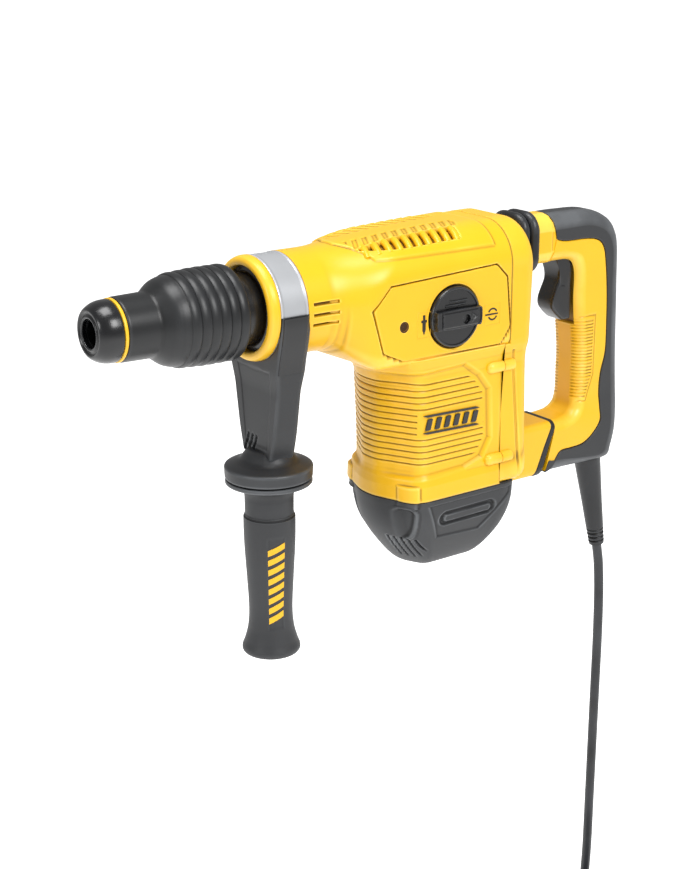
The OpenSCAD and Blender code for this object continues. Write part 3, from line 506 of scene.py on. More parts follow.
def set_inputs(tree: bpy.types.NodeTree, node: bpy.types.Node, inputs: dict) -> None:
    """Links each input that is given a socket, and sets the others to their values."""
    for place, value in inputs.items():
        if isinstance(value, bpy.types.NodeSocket):
            tree.links.new(value, node.inputs[place])
        else:
            node.inputs[place].default_value = value


def placed(tree: bpy.types.NodeTree, kind: str, inputs: dict,
        group: Optional[bpy.types.NodeTree] = None) -> bpy.types.Node:
    """A new node of a kind with its inputs set; a group node also gets its group."""
    node = tree.nodes.new(kind)
    if group:
        node.node_tree = group
    set_inputs(tree, node, inputs)
    return node


class FinishShop:
    """Builds each finish once and puts it on pieces."""

    def __init__(self) -> None:
        """Starts with the shared effects and no finishes."""
        self.made: dict[str, bpy.types.Material] = {}
        self.grain = self._grain_group()
        self.ageing = self._ageing_group()

    @staticmethod
    def _group(name: str, inputs: Sequence[tuple],
            outputs: Sequence[tuple]) -> tuple[bpy.types.NodeTree, bpy.types.Node, bpy.types.Node]:
        """Starts a shader group with named sockets, as (name, kind, value)."""
        group = bpy.data.node_groups.new(name, "ShaderNodeTree")
        for label, kind, value in inputs:
            socket = group.interface.new_socket(label, in_out="INPUT", socket_type=kind)
            if value is not None:
                socket.default_value = value
        for label, kind in outputs:
            group.interface.new_socket(label, in_out="OUTPUT", socket_type=kind)
        return group, group.nodes.new("NodeGroupInput"), group.nodes.new("NodeGroupOutput")

    def _grain_group(self) -> bpy.types.NodeTree:
        """Texture shared by all finishes: two sizes of noise, one drawn out for brushing.

        Height is 0.65 of fine noise plus 0.35 of noise three times as coarse, and Mottle is
        slow noise for shade changes.
        """
        group, entry, leave = self._group("surface_grain",
            [("Vector", "NodeSocketVector", None), ("Scale", "NodeSocketFloat", 2000.0),
            ("Stretch", "NodeSocketVector", (1, 1, 1))],
            [("Height", "NodeSocketFloat"), ("Mottle", "NodeSocketFloat")])
        where, size = entry.outputs["Vector"], entry.outputs["Scale"]
        scale = placed(group, "ShaderNodeVectorMath", {0: where, 1: entry.outputs["Stretch"]})
        scale.operation = "MULTIPLY"
        third = placed(group, "ShaderNodeMath", {0: size, 1: 0.33})
        third.operation = "MULTIPLY"
        fine = placed(group, "ShaderNodeTexNoise",
            {"Vector": scale.outputs[0], "Scale": size, "Detail": 3.0})
        coarse = placed(group, "ShaderNodeTexNoise",
            {"Vector": scale.outputs[0], "Scale": third.outputs[0], "Detail": 2.0})
        mix = placed(group, "ShaderNodeMix", {0: 0.35, 2: fine.outputs[0], 3: coarse.outputs[0]})
        slow = placed(group, "ShaderNodeTexNoise", {"Vector": where, "Scale": 28.0, "Detail": 4.0})
        group.links.new(mix.outputs[0], leave.inputs["Height"])
        group.links.new(slow.outputs[0], leave.inputs["Mottle"])
        return group

    def _ageing_group(self) -> bpy.types.NodeTree:
        """Colour and roughness with worn edges, painted shade in creases and slow shade changes.

        Wear is the edge mark broken up by mottle. Colour goes from the base towards worn by
        wear, then towards the crease colour by the crease mark, which is painted shade in creases
        and seams. Roughness falls on worn edges and rises in creases.
        """
        group, entry, leave = self._group("worn_and_crease_shaded",
            [("Base", "NodeSocketColor", (1, 1, 1, 1)), ("Worn", "NodeSocketColor", (1, 1, 1, 1)),
            ("Crease Shade", "NodeSocketColor", (0, 0, 0, 1)), ("Edge", "NodeSocketFloat", 0.0),
            ("Crease", "NodeSocketFloat", 0.0), ("Mottle", "NodeSocketFloat", 0.5),
            ("Mottle Share", "NodeSocketFloat", 0.05), ("Roughness", "NodeSocketFloat", 0.4)],
            [("Color", "NodeSocketColor"), ("Roughness", "NodeSocketFloat")])
        links = group.links

        def maths(operation: str, *values: Value) -> bpy.types.NodeSocket:
            """A Math node over sockets or numbers; returns its output."""
            node = placed(group, "ShaderNodeMath", dict(enumerate(values)))
            node.operation = operation
            return node.outputs[0]

        def blend_colour(share: Value, first: Value, second: Value) -> bpy.types.NodeSocket:
            """A colour Mix node; returns its output."""
            node = placed(group, "ShaderNodeMix", {0: share, 6: first, 7: second})
            node.data_type = "RGBA"
            return node.outputs[2]

        slow = maths("SUBTRACT", entry.outputs["Mottle"], 0.5)
        swing = maths("MULTIPLY", slow, entry.outputs["Mottle Share"])
        shade = placed(group, "ShaderNodeHueSaturation",
            {"Color": entry.outputs["Base"], "Value": maths("MULTIPLY_ADD", swing, 2.0, 1.0)})
        broken = maths("MULTIPLY_ADD", slow, 1.6, 0.45)
        wear = maths("MULTIPLY", entry.outputs["Edge"], broken)
        wear = maths("MINIMUM", maths("MAXIMUM", wear, 0.0), 0.6)
        colour = blend_colour(wear, shade.outputs[0], entry.outputs["Worn"])
        # Painted shade: creases and seams darken towards the crease colour.
        crease_shade = maths("MULTIPLY", entry.outputs["Crease"], 0.85)
        links.new(blend_colour(crease_shade, colour, entry.outputs["Crease Shade"]), leave.inputs["Color"])
        rough = maths("MULTIPLY_ADD", swing, 1.5, entry.outputs["Roughness"])
        rough = maths("MULTIPLY_ADD", wear, -0.1, rough)
        links.new(maths("MULTIPLY_ADD", crease_shade, 0.2, rough), leave.inputs["Roughness"])
        return group

    def material(self, finish: Finish) -> bpy.types.Material:
        """The finish's material, built on first use.

        Args:
            finish: The finish.
        Returns:
            Its material, whose patterns follow Object coordinates and the piece's own marks.
        """
        if finish.name in self.made:
            return self.made[finish.name]
        material = bpy.data.materials.new(finish.name)
        material.use_nodes = True
        tree = material.node_tree
        where = placed(tree, "ShaderNodeTexCoord", {})
        grain = placed(tree, "ShaderNodeGroup", {}, self.grain)
        set_inputs(tree, grain, {"Vector": where.outputs["Object"],
            "Scale": 1.0 / finish.grain_size, "Stretch": (1.0, 0.12, 0.12)
            if finish.texture is Texture.BRUSHED else (1, 1, 1)})
        edge, crease = (placed(tree, "ShaderNodeAttribute", {}) for _ in range(2))
        edge.attribute_name, crease.attribute_name = "edge", "crease"
        ageing = placed(tree, "ShaderNodeGroup", {}, self.ageing)
        # The crease colour is painted shade for creases and seams.
        set_inputs(tree, ageing, {"Base": tint(finish.colour), "Worn": tint(finish.worn),
            "Crease Shade": tint(finish.crease_shade), "Edge": edge.outputs["Fac"],
            "Crease": crease.outputs["Fac"], "Mottle": grain.outputs["Mottle"],
            "Mottle Share": finish.mottle, "Roughness": finish.roughness})
        bump = placed(tree, "ShaderNodeBump", {"Strength": 0.7 if finish.texture is Texture.CAST
            else 0.45, "Distance": finish.grain_height, "Height": grain.outputs["Height"]})
        set_inputs(tree, tree.nodes["Principled BSDF"],
            {"Metallic": finish.metallic, "Coat Weight": finish.coat, "Coat Roughness": 0.25,
            "IOR": 1.46, "Base Color": ageing.outputs["Color"],
            "Roughness": ageing.outputs["Roughness"], "Normal": bump.outputs["Normal"]})
        self.made[finish.name] = material
        return material

    def dress(self, piece: bpy.types.Object, finish: Finish) -> bpy.types.Object:
        """Puts the finish on the piece as its only material."""
        piece.data.materials.clear()
        piece.data.materials.append(self.material(finish))
        return piece


@dataclass
class Assembly:
    """A sub-assembly: it builds its pieces and dresses them."""

    datum: Datum
    shop: FinishShop

    def add(self, piece: bpy.types.Object, finish: Finish, body: Optional[str], slot: str,
            *nodes: str) -> bpy.types.Object:
        """Dresses a piece, puts it on its body and lets it stand for CAD nodes.

        Args:
            piece: The new object.
            finish: Its finish.
            body: The CAD body that it rides on, or None where it bends between two.
            slot: The record's material slot; not used.
            nodes: CAD nodes that it replaces.
        Returns:
            The piece.
        """
        self.shop.dress(piece, finish)
        if body:
            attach(piece, body)
        if nodes:
            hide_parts(*nodes)
        log.info("%s: %d vertices", piece.name, len(piece.data.vertices))
        return piece

    def form(self, name: str, grid: Array, finish: Finish, body: Optional[str], slot: str,
            *nodes: str, wrap_rows: bool = False, crease: Optional[
            Array] = None) -> bpy.types.Object:
        """Closes a grid into a piece as skin does, and adds it as add does."""
        piece = skin(name, self.datum, grid, wrap_rows, crease)
        return self.add(piece, finish, body, slot, *nodes)

    def many(self, name: str, grids: Array, finish: Finish, body: str, slot: str,
            *nodes: str) -> bpy.types.Object:
        """Writes several capped tubes of one size as a single piece.

        Args:
            name: Name of the piece.
            grids: Tubes, rows, columns and coordinates.
            finish: The finish.
            body: The CAD body that it rides on.
            slot: The record's material slot.
            nodes: CAD nodes that it replaces.
        Returns:
            The piece.
        """
        count, rows, columns = grids.shape[:3]
        shift = (np.arange(count) * (rows * columns + 2))[:, None, None]
        quads, triangles = ring_faces(rows, columns, False)
        quads, triangles = (quads + shift).reshape(-1, 4), (triangles + shift).reshape(-1, 3)
        ends = np.stack([grids[:, 0].mean(1), grids[:, -1].mean(1)], 1)
        points = np.concatenate([grids.reshape(count, -1, 3), ends], 1).reshape(-1, 3)
        piece = write_mesh(name, self.datum, points, quads, triangles,
            {"edge": np.zeros(len(points)), "crease": np.zeros(len(points))})
        return self.add(piece, finish, body, slot, *nodes)

    def build(self) -> None:
        """Builds every piece; each sub-assembly has its own."""
        raise NotImplementedError


# --- Nose: dust cap, ring, locking sleeve and neck ---


@dataclass
class Nose(Assembly):
    """Front end: what turns round the tool and the neck that it comes out of."""

    cap_front: float = -121.0
    cap_rear: float = -105.5
    mouth_r: float = 9.6
    sleeve_rear: float = -20.0
    rib_pitch: float = 7.15
    columns: int = 168

    def build(self) -> None:
        """Builds the four turned pieces from closed profiles of X and radius."""
        self._cap()
        self._ring()
        self._sleeve()
        self._neck()

    def _cap(self) -> None:
        """Rubber dust cap: a dished face with a lip, and a shoulder that swells backwards."""
        front, rear, mouth = self.cap_front, self.cap_rear, self.mouth_r
        profile = rounded([(rear, mouth), (front + 0.4, mouth), (front, mouth + 1.2),
            (front + 0.7, mouth + 2.0), (front + 1.3, 12.9), (front + 0.2, 13.9),
            (front + 0.1, 15.4), (front + 1.6, 17.0), (front + 5.2, 19.1), (front + 9.5, 20.3),
            (rear - 0.8, 20.5), (rear, 19.9)], [0.1, 0.3, 0.5, 0.5, 0.5, 0.4, 0.7, 1.0, 2.0, 2.5,
            0.7, 0.3], 5, True)
        self.form("dust_cap_rubber", turned(even(profile, 130, True), self.columns), BLACK_GLOSS,
            "tool_spindle", "black_rubber", "dust_cap", wrap_rows=True)

    def _ring(self) -> None:
        """Yellow retaining ring with a rounded rim."""
        x0, x1 = self.cap_rear + 0.15, self.cap_rear + 2.35
        profile = rounded([(x0, 15.2), (x0, 20.9), (x1, 20.9), (x1, 15.2)], [0.1, 0.8, 0.8, 0.1],
            6, True)
        self.form("retaining_ring_bead", turned(profile, self.columns), YELLOW, "tool_spindle",
            "yellow_plastic", "retaining_ring", wrap_rows=True)

    def _sleeve(self) -> None:
        """Locking sleeve: cylinder, flare and six grip ribs.

        Over the ribs the radius is a rising line plus 0.95 |cos|^0.7 of the rib phase, so
        that the ribs are round and the valleys narrow.
        """
        front = self.cap_rear + 2.85
        rib_x0, rib_x1 = -62.9, self.sleeve_rear
        x = np.linspace(rib_x0, rib_x1, 260)
        phase = np.pi * (x - rib_x0) / self.rib_pitch
        ribs = 30.1 + 1.05 * smooth(-63, -40, x) + 1.25 * np.abs(np.sin(phase)) ** 0.55
        lead = rounded([(front, 19.4), (front, 20.6), (front + 0.9, 21.2), (-79.6, 21.6),
            (-77.0, 23.4), (-71.0, 28.0), (-66.0, 29.6), (-63.2, 30.0)],
            [0.1, 0.3, 0.6, 1.5, 2.5, 2.5, 1.5, 0.2], 8)
        tail = rounded([(rib_x1 + 0.1, 30.6), (rib_x1 + 0.3, 27.5), (rib_x1 - 0.8, 25.4),
            (-24.0, 24.6), (-60.0, 24.6), (-61.0, 18.6), (front, 18.6)],
            [0.1, 0.8, 0.6, 0.3, 0.5, 0.5, 0.1], 4)
        profile = np.vstack([even(lead, 90), np.stack([x, ribs], 1), tail])
        self.form("locking_sleeve_ribbed", turned(profile, self.columns), SLEEVE_GREY, "sleeve",
            "black_plastic", "locking_sleeve", wrap_rows=True)

    def _neck(self) -> None:
        """Black neck and the flange that closes the collar's mouth behind it."""
        profile = rounded([(-24.8, 23.5), (-24.0, 24.4), (-4.2, 24.4), (-3.0, 25.2), (-2.0, 28.9),
            (3.9, 28.9), (3.9, 22.0), (-24.8, 22.0)], [0.3, 0.8, 1.2, 1.2, 0.6, 0.3, 0.3, 0.3], 5,
            True)
        self.form("neck_flange", turned(even(profile, 120, True), self.columns), BLACK_GLOSS,
            "housing", "black_plastic", "nose_flange", wrap_rows=True)


# --- Gear cover with selector ---


SHOULDER_Y, SHOULDER_Z, SHOULDER_R = 16.0, 13.0, 30.0


def arc(cy: float, cz: float, radius: float, start: float, stop: float, count: int = 24) -> Array:
    """Points of a circular arc in the Y-Z plane, angles in degrees."""
    w = np.radians(np.linspace(start, stop, count))
    return np.stack([cy + radius * np.cos(w), cz + radius * np.sin(w)], 1)


def shoulders() -> Array:
    """Both round shoulders of the body's section, from the +Y side over the top to -Y."""
    return np.vstack([arc(SHOULDER_Y, SHOULDER_Z, SHOULDER_R, 0, 90),
        arc(-SHOULDER_Y, SHOULDER_Z, SHOULDER_R, 90, 180)])


def polar_radius(outline: Array, angle: Array) -> Array:
    """Radius of a star-shaped outline at given angles, by straight lines between its corners.

    Args:
        outline: Corners round the origin.
        angle: Angles in radians.
    Returns:
        One radius an angle.
    """
    dense = even(outline, 1440, True)
    at = np.arctan2(dense[:, 1], dense[:, 0])
    order = np.argsort(at)
    return np.interp(angle, at[order], np.hypot(*dense.T)[order], period=2 * np.pi)


@dataclass
class GearCover(Assembly):
    """Yellow cover: collar, barrel and the wide body with grille, panel and selector knob."""

    barrel_r: float = 35.8
    half_w: float = 46.0
    rear_x: float = 190.6
    wall: float = 3.0
    columns: int = 308
    slot_levels: tuple = (5.0, -2.4, -9.4)
    panel: tuple = ((82.6, 10.9), (175.8, 15.0), (185.3, 5.5), (189.3, -31.0), (180.8, -42.6),
        (93.6, -42.0), (76.6, -34.3), (68.4, -4.2))
    knob: tuple = (137.2, -16.5)
    knob_r: float = 22.0
    drain_hole: tuple = (93.6, -18.0)

    def build(self) -> None:
        """Builds the cover, its panel, the pictograms, the knob and the grille bars."""
        self._cover()
        self._grille()
        self._panel()
        self._pictograms()
        self._knob()

    def outline(self) -> Array:
        """Cross-section of the wide body: round shoulders, flat sides, small lower corners."""
        return np.vstack([
            shoulders(), arc(-38, -39, 8, 180, 270, 10), arc(38, -39, 8, 270, 360, 10)])

    def surface(self, x: Array, angle: Array, circle: Optional[Array] = None) -> Array:
        """The cover's outside at distances x and angles round the axis.

        The radius is (1 - s) of the barrel's circle plus s of the wide outline. s rises
        from X 41 to X 75 at the sides and more slowly above and below, and the top climbs
        by a ninth from X 60 to X 200.

        Args:
            x: Distances along the axis, one a row.
            angle: Angles from +Y towards +Z, one a column.
            circle: Radii of the round part, one a row, or None for the barrel's.
        Returns:
            A grid of points.
        """
        below = np.clip(-np.sin(angle), 0, 1) ** 2
        end = 75.0 + 6.0 * below + 34.0 * np.clip(np.sin(angle), 0, 1) ** 1.5
        start = 41.0 + 2.0 * below
        share = smooth(start[None], end[None], x[:, None]) ** 0.9
        wide = polar_radius(self.outline(), angle)[None]
        round_r = np.full(len(x), self.barrel_r) if circle is None else circle
        radius = round_r[:, None] * (1 - share) + wide * share
        y, z = radius * np.cos(angle), radius * np.sin(angle)
        climb = 0.885 + 0.085 * smooth(60.0, 165.0, x[:, None])
        climb = climb + 0.03 * smooth(150.0, 200.0, x[:, None])
        lift = np.where(z > 0, 1 + (climb - 1) * share, 1.0)
        return joined(x[:, None], y, z * lift)

    def angles(self) -> Array:
        """Angles of the columns, closest together on the selector's side and its shoulder."""
        full = fine_steps(0, 360, 1.9, [(60, 122, 1.25), (122, 206, 0.66), (328, 360, 1.5)])
        return np.radians(full[:-1])

    def _cover(self) -> None:
        """The cover as one wall: outside from the mouth to the rear, then back inside.

        Features are depths along the normal: three slots beside the band, a raised
        grille field with a sunk middle, and a seat for the panel with a hair gap round it.
        Seam marks paint shade into the slots, the sunk middle, the hair gap and the rear rim.
        """
        angle = self.angles()
        front = rounded([(3.0, 29.2), (-6.0, 29.2), (-7.1, 30.4), (-7.1, 32.6), (-5.6, 34.9),
            (-2.4, 35.8), (0.0, 35.8), (0.05, 34.6), (22.4, 34.6), (22.45, 35.8), (23.4, 35.8)],
            [0.1, 0.9, 1.0, 0.9, 1.2, 0.9, 0.12, 0.1, 0.1, 0.12, 0.1], 4)
        x = fine_steps(23.6, self.rear_x, 0.8, [(25.5, 27.5, 0.35), (45, 47, 0.35),
            (67.5, 84.0, 0.5), (180.0, 190.6, 0.34)])
        outside = np.vstack([self._rings(front, angle), self.surface(x, angle)])
        depth, seam = self._features(outside)
        outside = outside + grid_normals(outside, True) * depth[..., None]
        inner_x = np.linspace(self.rear_x, 24.0, 12)
        inside = self.surface(inner_x, angle)
        away = inside * np.array([0, 1, 1])
        inside = inside - away / np.linalg.norm(away, axis=-1, keepdims=True) * self.wall
        back = self._rings(np.array([(10.0, 31.6), (3.1, 31.6)]), angle)
        grid = np.vstack([outside, inside, back])
        extra = np.zeros(grid.shape[:2])
        extra[:len(outside)] = seam
        self.form("gear_cover_moulding", grid, YELLOW, "housing", "yellow_plastic", "gear_cover",
            wrap_rows=True, crease=extra)

    @staticmethod
    def _rings(profile: Array, angle: Array) -> Array:
        """Round rings of a profile of X and radius at the cover's own angles."""
        radius = profile[:, 1:]
        return joined(profile[:, :1], radius * np.cos(angle), radius * np.sin(angle))

    def grille_field(self, x: Array, y: Array, z: Array) -> Array:
        """Signed distance into the grille's raised field.

        Its edges run from X 62 on the ridge to X 79 at the lower corner, along Z 28.4 to
        X 174, and back over the top at X 178. The same field lies on both shoulders.
        """
        front = (x - 62.0) - np.clip(np.abs(y) - 6, 0, 40) * 0.48
        back = 177.0 - x - 0.02 * np.abs(y)
        low = z - 28.4
        return np.where(z > 8, np.minimum(np.minimum(front, back), low), -9.0)

    def _features(self, grid: Array) -> tuple[Array, Array]:
        """Depths along the normal and seam marks over the cover's outside; the seam marks are
        painted shade.
        """
        x, y, z = grid[..., 0], grid[..., 1], grid[..., 2]
        near = y < 0
        depth, seam = np.zeros(x.shape), np.zeros(x.shape)
        for level in self.slot_levels:
            cut = window(26.8, 46.2, 0.5, x) * window(level - 0.75, level + 0.75, 0.45, z) * near
            depth -= 2.6 * cut
            # Painted shade in the slots.
            seam = np.maximum(seam, cut)
        field_in = self.grille_field(x, y, z)
        raised = smooth(-0.9, 0.9, field_in)
        slant = x + 0.25 * (np.abs(y) - 24)
        sunk = window(72.0, 152.0, 1.0, slant) * window(23.4, 34.6, 0.8, np.abs(y))
        sunk = sunk * smooth(33.0, 34.2, z)
        depth += 1.1 * raised - 4.0 * sunk
        # Painted shade in the sunk middle of the grille.
        seam = np.maximum(seam, 0.8 * sunk)
        ridge_steps = window(70.0, 160.0, 2.0, x) * window(9.0, 21.0, 1.0, np.abs(y)) * (z > 20)
        wave = 0.5 + 0.5 * np.cos(2 * np.pi * (x + 0.55 * np.abs(y) - 66.0) / 8.4)
        depth -= 0.6 * ridge_steps * smooth(0.35, 0.6, wave)
        seat = polygon_depth(x, z, self.panel)
        near_side = smooth(-33.0, -37.0, y)
        depth -= 1.9 * smooth(-1.0, -0.6, seat) * near_side
        # Painted shade in the hair gap round the panel.
        seam = np.maximum(seam, window(-1.0, 0.2, 0.2, seat) * near_side)
        flank = window(48.0, 52.0, 2.5, x) * smooth(0.2, -0.6, np.sin(np.arctan2(z, np.abs(y))))
        depth -= 0.7 * flank
        rim = window(self.rear_x - 0.9, self.rear_x + 1, 0.3, x)
        depth -= 0.35 * rim
        # Painted shade in the rear rim's seam.
        return depth, np.maximum(seam, 0.8 * rim)

    def _grille(self, bars: int = 10) -> None:
        """Slanted bars across the sunk grille, on both shoulders.

        Each bar is a flat tube whose path runs down the shoulder from |Y| 22.4 to 35.6
        while X falls by 0.25 of that, 0.2 mm under the raised field.
        """
        rows = []
        for side in (-1.0, 1.0):
            for place in np.linspace(76.5, 151.0, bars):
                span = np.linspace(22.4, 35.6, 14)
                x = place - 0.25 * (span - 24.0)
                rise = np.sqrt(SHOULDER_R**2 - (span - SHOULDER_Y) ** 2)
                angle = np.arctan2(SHOULDER_Z + rise, side * span)
                whole = self.surface(x, angle)
                point = whole[np.arange(len(span)), np.arange(len(span))]
                normal = point - np.array([0, side * SHOULDER_Y, SHOULDER_Z])
                normal[:, 0] = 0
                normal /= np.linalg.norm(normal, axis=1, keepdims=True)
                rows.append(point - normal * 0.9)
        bars_ready = np.stack([tube(path, 2.8, 12, (1, 0, 0), (0.85, 0.95)) for path in rows])
        self.many("grille_bars", bars_ready, YELLOW, "housing", "yellow_plastic")

    def _panel(self) -> None:
        """Eight-sided selector panel with a soft rim, a ring round the knob and a hole.

        Rings go over the rim, then blend from the outline to the well's circle, and then
        shrink inside the well; heights fall in the well and in the hole. Crease marks paint
        shade into the gap round the knob and into the hole, and a brown insert in the hole
        is painted shade.
        """
        centre = np.array(self.knob)
        rim = rounded(self.panel, 1.6, 6, True)
        angle = np.linspace(-np.pi, np.pi, 460, endpoint=False)
        reach = polar_radius(rim - centre, angle)
        edge = np.array([0.1, 0.1, 0.15, 0.3, 0.7, 1.4])
        share = np.linspace(1, 0, 96)[:, None]
        well = self.knob_r + 2.6
        inner = well + (reach[None] - 2.3 - well) * share
        floor = np.r_[np.linspace(well - 0.3, self.knob_r - 0.6, 12), 14.0, 7.0, 1.5]
        radius = np.vstack([reach[None] - edge[:, None], inner,
            np.broadcast_to(floor[:, None], (len(floor), len(angle)))])
        height = np.r_[-2.2, -0.6, -0.2, -0.02, 0.06, np.full(len(share) + len(floor) + 1, 0.08)]
        x = centre[0] + radius * np.cos(angle)
        z = centre[1] + radius * np.sin(angle)
        level = np.broadcast_to(height[:, None], radius.shape).copy()
        far = np.hypot(x - centre[0], z - centre[1])
        hole = smooth(3.6, 3.1, np.hypot(x - self.drain_hole[0], z - self.drain_hole[1]))
        level += 0.25 * window(self.knob_r + 1.2, self.knob_r + 2.0, 0.35, far)
        level -= 1.6 * smooth(self.knob_r + 0.9, self.knob_r + 0.4, far) + 1.8 * hole
        grid = joined(x, -self.half_w - level, z)
        # Painted shade in the gap round the knob and in the hole.
        mark = np.maximum(0.8 * window(self.knob_r - 1, self.knob_r + 0.8, 0.3, far), hole)
        self.form("selector_panel_plate", grid, YELLOW, "housing", "yellow_plastic",
            "selector_panel", crease=mark)
        # A brown insert in the hole, darker still at its rim: painted shade.
        lip = np.array([(0.2, 1.35), (2.9, 1.35), (2.95, 0.1), (3.1, -0.12), (3.9, -0.12),
            (3.95, 0.3), (0.2, 1.5)])
        around = np.linspace(0, 2 * np.pi, 60, endpoint=False)
        hole_shade = joined(self.drain_hole[0] + lip[:, :1] * np.cos(around), lip[:, 1:] - self.half_w,
            self.drain_hole[1] + lip[:, :1] * np.sin(around))
        self.form("drain_hole_painted_shade", hole_shade, BROWN, "housing", "yellow_plastic",
            crease=np.broadcast_to( lip[:, 1:] > 0.5, hole_shade.shape[:2]).astype(float))

    def _pictograms(self) -> None:
        """Plain printed signs beside the knob: a chisel, a turning bit and square frames."""
        y0, y1 = -self.half_w - 0.02, -self.half_w - 0.28
        chisel = np.array([(109.6, -11.9), (111.6, -11.9), (111.6, -15.4), (113.0, -15.4),
            (113.0, -17.2), (112.0, -17.2), (112.0, -22.4), (110.6, -26.0), (109.2, -22.4),
            (109.2, -17.2), (108.2, -17.2), (108.2, -15.4), (109.6, -15.4)])
        top = np.vstack([arc(172.4, -19.8, 4.6, 25, 155, 14), arc(172.4, -19.8, 3.4, 155, 25, 14)])
        low = top * np.array([1, -1]) + np.array([0, -2 * 19.8])
        bit = np.array([(165.6, -19.2), (168.0, -19.2), (177.4, -19.3), (177.4, -20.3),
            (168.0, -20.4), (165.6, -20.4)])
        for name, shape in (("sign_chisel", chisel), ("sign_turn_top", top),
                ("sign_turn_low", low), ("sign_bit", bit)):
            self._plate(name, shape, y0, y1, LABEL_INK)
        for name, (cx, cz, w, h) in (("frame_chisel", (110.7, -18.8, 5.6, 9.0)),
                ("frame_bit", (172.2, -19.8, 7.0, 7.6))):
            turn = np.array([(-w, -h), (w, -h), (w, h), (-w, h)]) + (cx, cz)
            path = rounded(turn, 0.8, 3, True)
            line = joined(path[:, 0], -self.half_w - 0.1, path[:, 1])
            grid = tube(np.vstack([line, line[:1]]), 0.16, 6)
            self.form(name, grid, YELLOW_TEXTURED, "housing", "yellow_plastic")

    def _plate(self, name: str, outline: Array, y0: float, y1: float, finish: Finish) -> None:
        """Writes a thin flat sign whose outline may be hollow-sided.

        Args:
            name: Name of the piece.
            outline: Points of X and Z.
            y0: Y of its back.
            y1: Y of its face.
            finish: The finish.
        """
        mesh = bpy.data.meshes.new(name)
        count = len(outline)
        ring = np.arange(count)
        after = (ring + 1) % count
        levels = [joined(outline[:, 0], y, outline[:, 1]) for y in (y0, y1)]
        points = self.datum.place(np.vstack(levels))
        area = np.sum(outline[:, 0] * outline[after, 1] - outline[after, 0] * outline[:, 1])
        front = ring[::-1] if area < 0 else ring
        back = front[::-1]
        walls = np.stack([ring, after, after + count, ring + count], 1)
        walls = walls[:, ::-1] if area < 0 else walls
        faces = [list(map(int, front + count)), list(map(int, back))] + walls.tolist()
        mesh.from_pydata(points.tolist(), [], faces)
        mesh.validate()
        piece = bpy.data.objects.new(name, mesh)
        bpy.context.scene.collection.objects.link(piece)
        self.add(piece, finish, "housing", "black_plastic")

    def _knob(self) -> None:
        """Selector knob on a polar grid: height over the panel as a sum of features.

        A bright rim ring, a raised bar 13.5 mm high from the left end to the pointer, two
        short ribs above it, a raised pointer triangle and a round dimple.
        """
        radius = np.r_[self.knob_r, self.knob_r, fine_steps(0.25, self.knob_r - 0.2, 0.34)[::-1]]
        angle = np.linspace(0, 2 * np.pi, 300, endpoint=False)
        u = radius[:, None] * np.cos(angle)
        v = radius[:, None] * np.sin(angle)
        r = np.hypot(u, v)
        height = 2.6 * smooth(self.knob_r, self.knob_r - 0.7, r)
        height += 0.7 * window(self.knob_r - 2.2, self.knob_r - 1.0, 0.35, r)
        bar_half = 6.9 + 0.4 * np.cos(u / 9.0)
        bar = smooth(bar_half + 0.4, bar_half - 0.5, np.abs(v + 0.8)) * window(-19.0, 20.5, 0.8,
            u) * smooth(self.knob_r - 0.6, self.knob_r - 1.3, r)
        height += 3.9 * bar
        inset = smooth(5.4, 4.9, np.abs(v + 0.8)) * window(-14.0, 16.5, 0.5, u)
        height += 0.55 * inset * bar - 0.6 * window(-15.0, -14.4, 0.3, u) * bar
        for low, left, right in ((8.4, -9.5, 8.5), (10.9, -6.0, 9.5)):
            height += 0.8 * window(low, low + 0.9, 0.3, v) * window(left, right, 0.4, u) * (1 - bar)
        dimple = np.hypot(u - 6.5, v + 1.6)
        height -= 2.4 * smooth(3.5, 2.9, dimple) * bar
        triangle = polygon_depth(u, v + 0.8, [(11.0, -3.2), (11.0, 3.2), (15.6, 0.0)])
        outline = window(-0.1, 0.5, 0.25, triangle)
        height += 0.45 * outline * bar
        height[0] = -1.4
        grid = np.stack([self.knob[0] + u, -45.4 - height, self.knob[1] + v], -1)
        self.form("selector_knob_bar", grid, BLACK_GLOSS, "selector", "black_plastic",
            "selector_knob")


# --- Motor: housing, end cap and screw bosses ---


def stadium(x: Array, z: Array, ends: Sequence, radius: float) -> Array:
    """Distance inside a round-ended slot: its radius less the distance to its middle line.

    Args:
        x: First coordinates.
        z: Second coordinates.
        ends: The two ends of the middle line.
        radius: Half the slot's width.
    Returns:
        Positive numbers inside.
    """
    a, b = (np.asarray(end, float) for end in ends)
    line = b - a
    t = np.clip(((x - a[0]) * line[0] + (z - a[1]) * line[1]) / (line @ line), 0, 1)
    return radius - np.hypot(x - a[0] - t * line[0], z - a[1] - t * line[1])


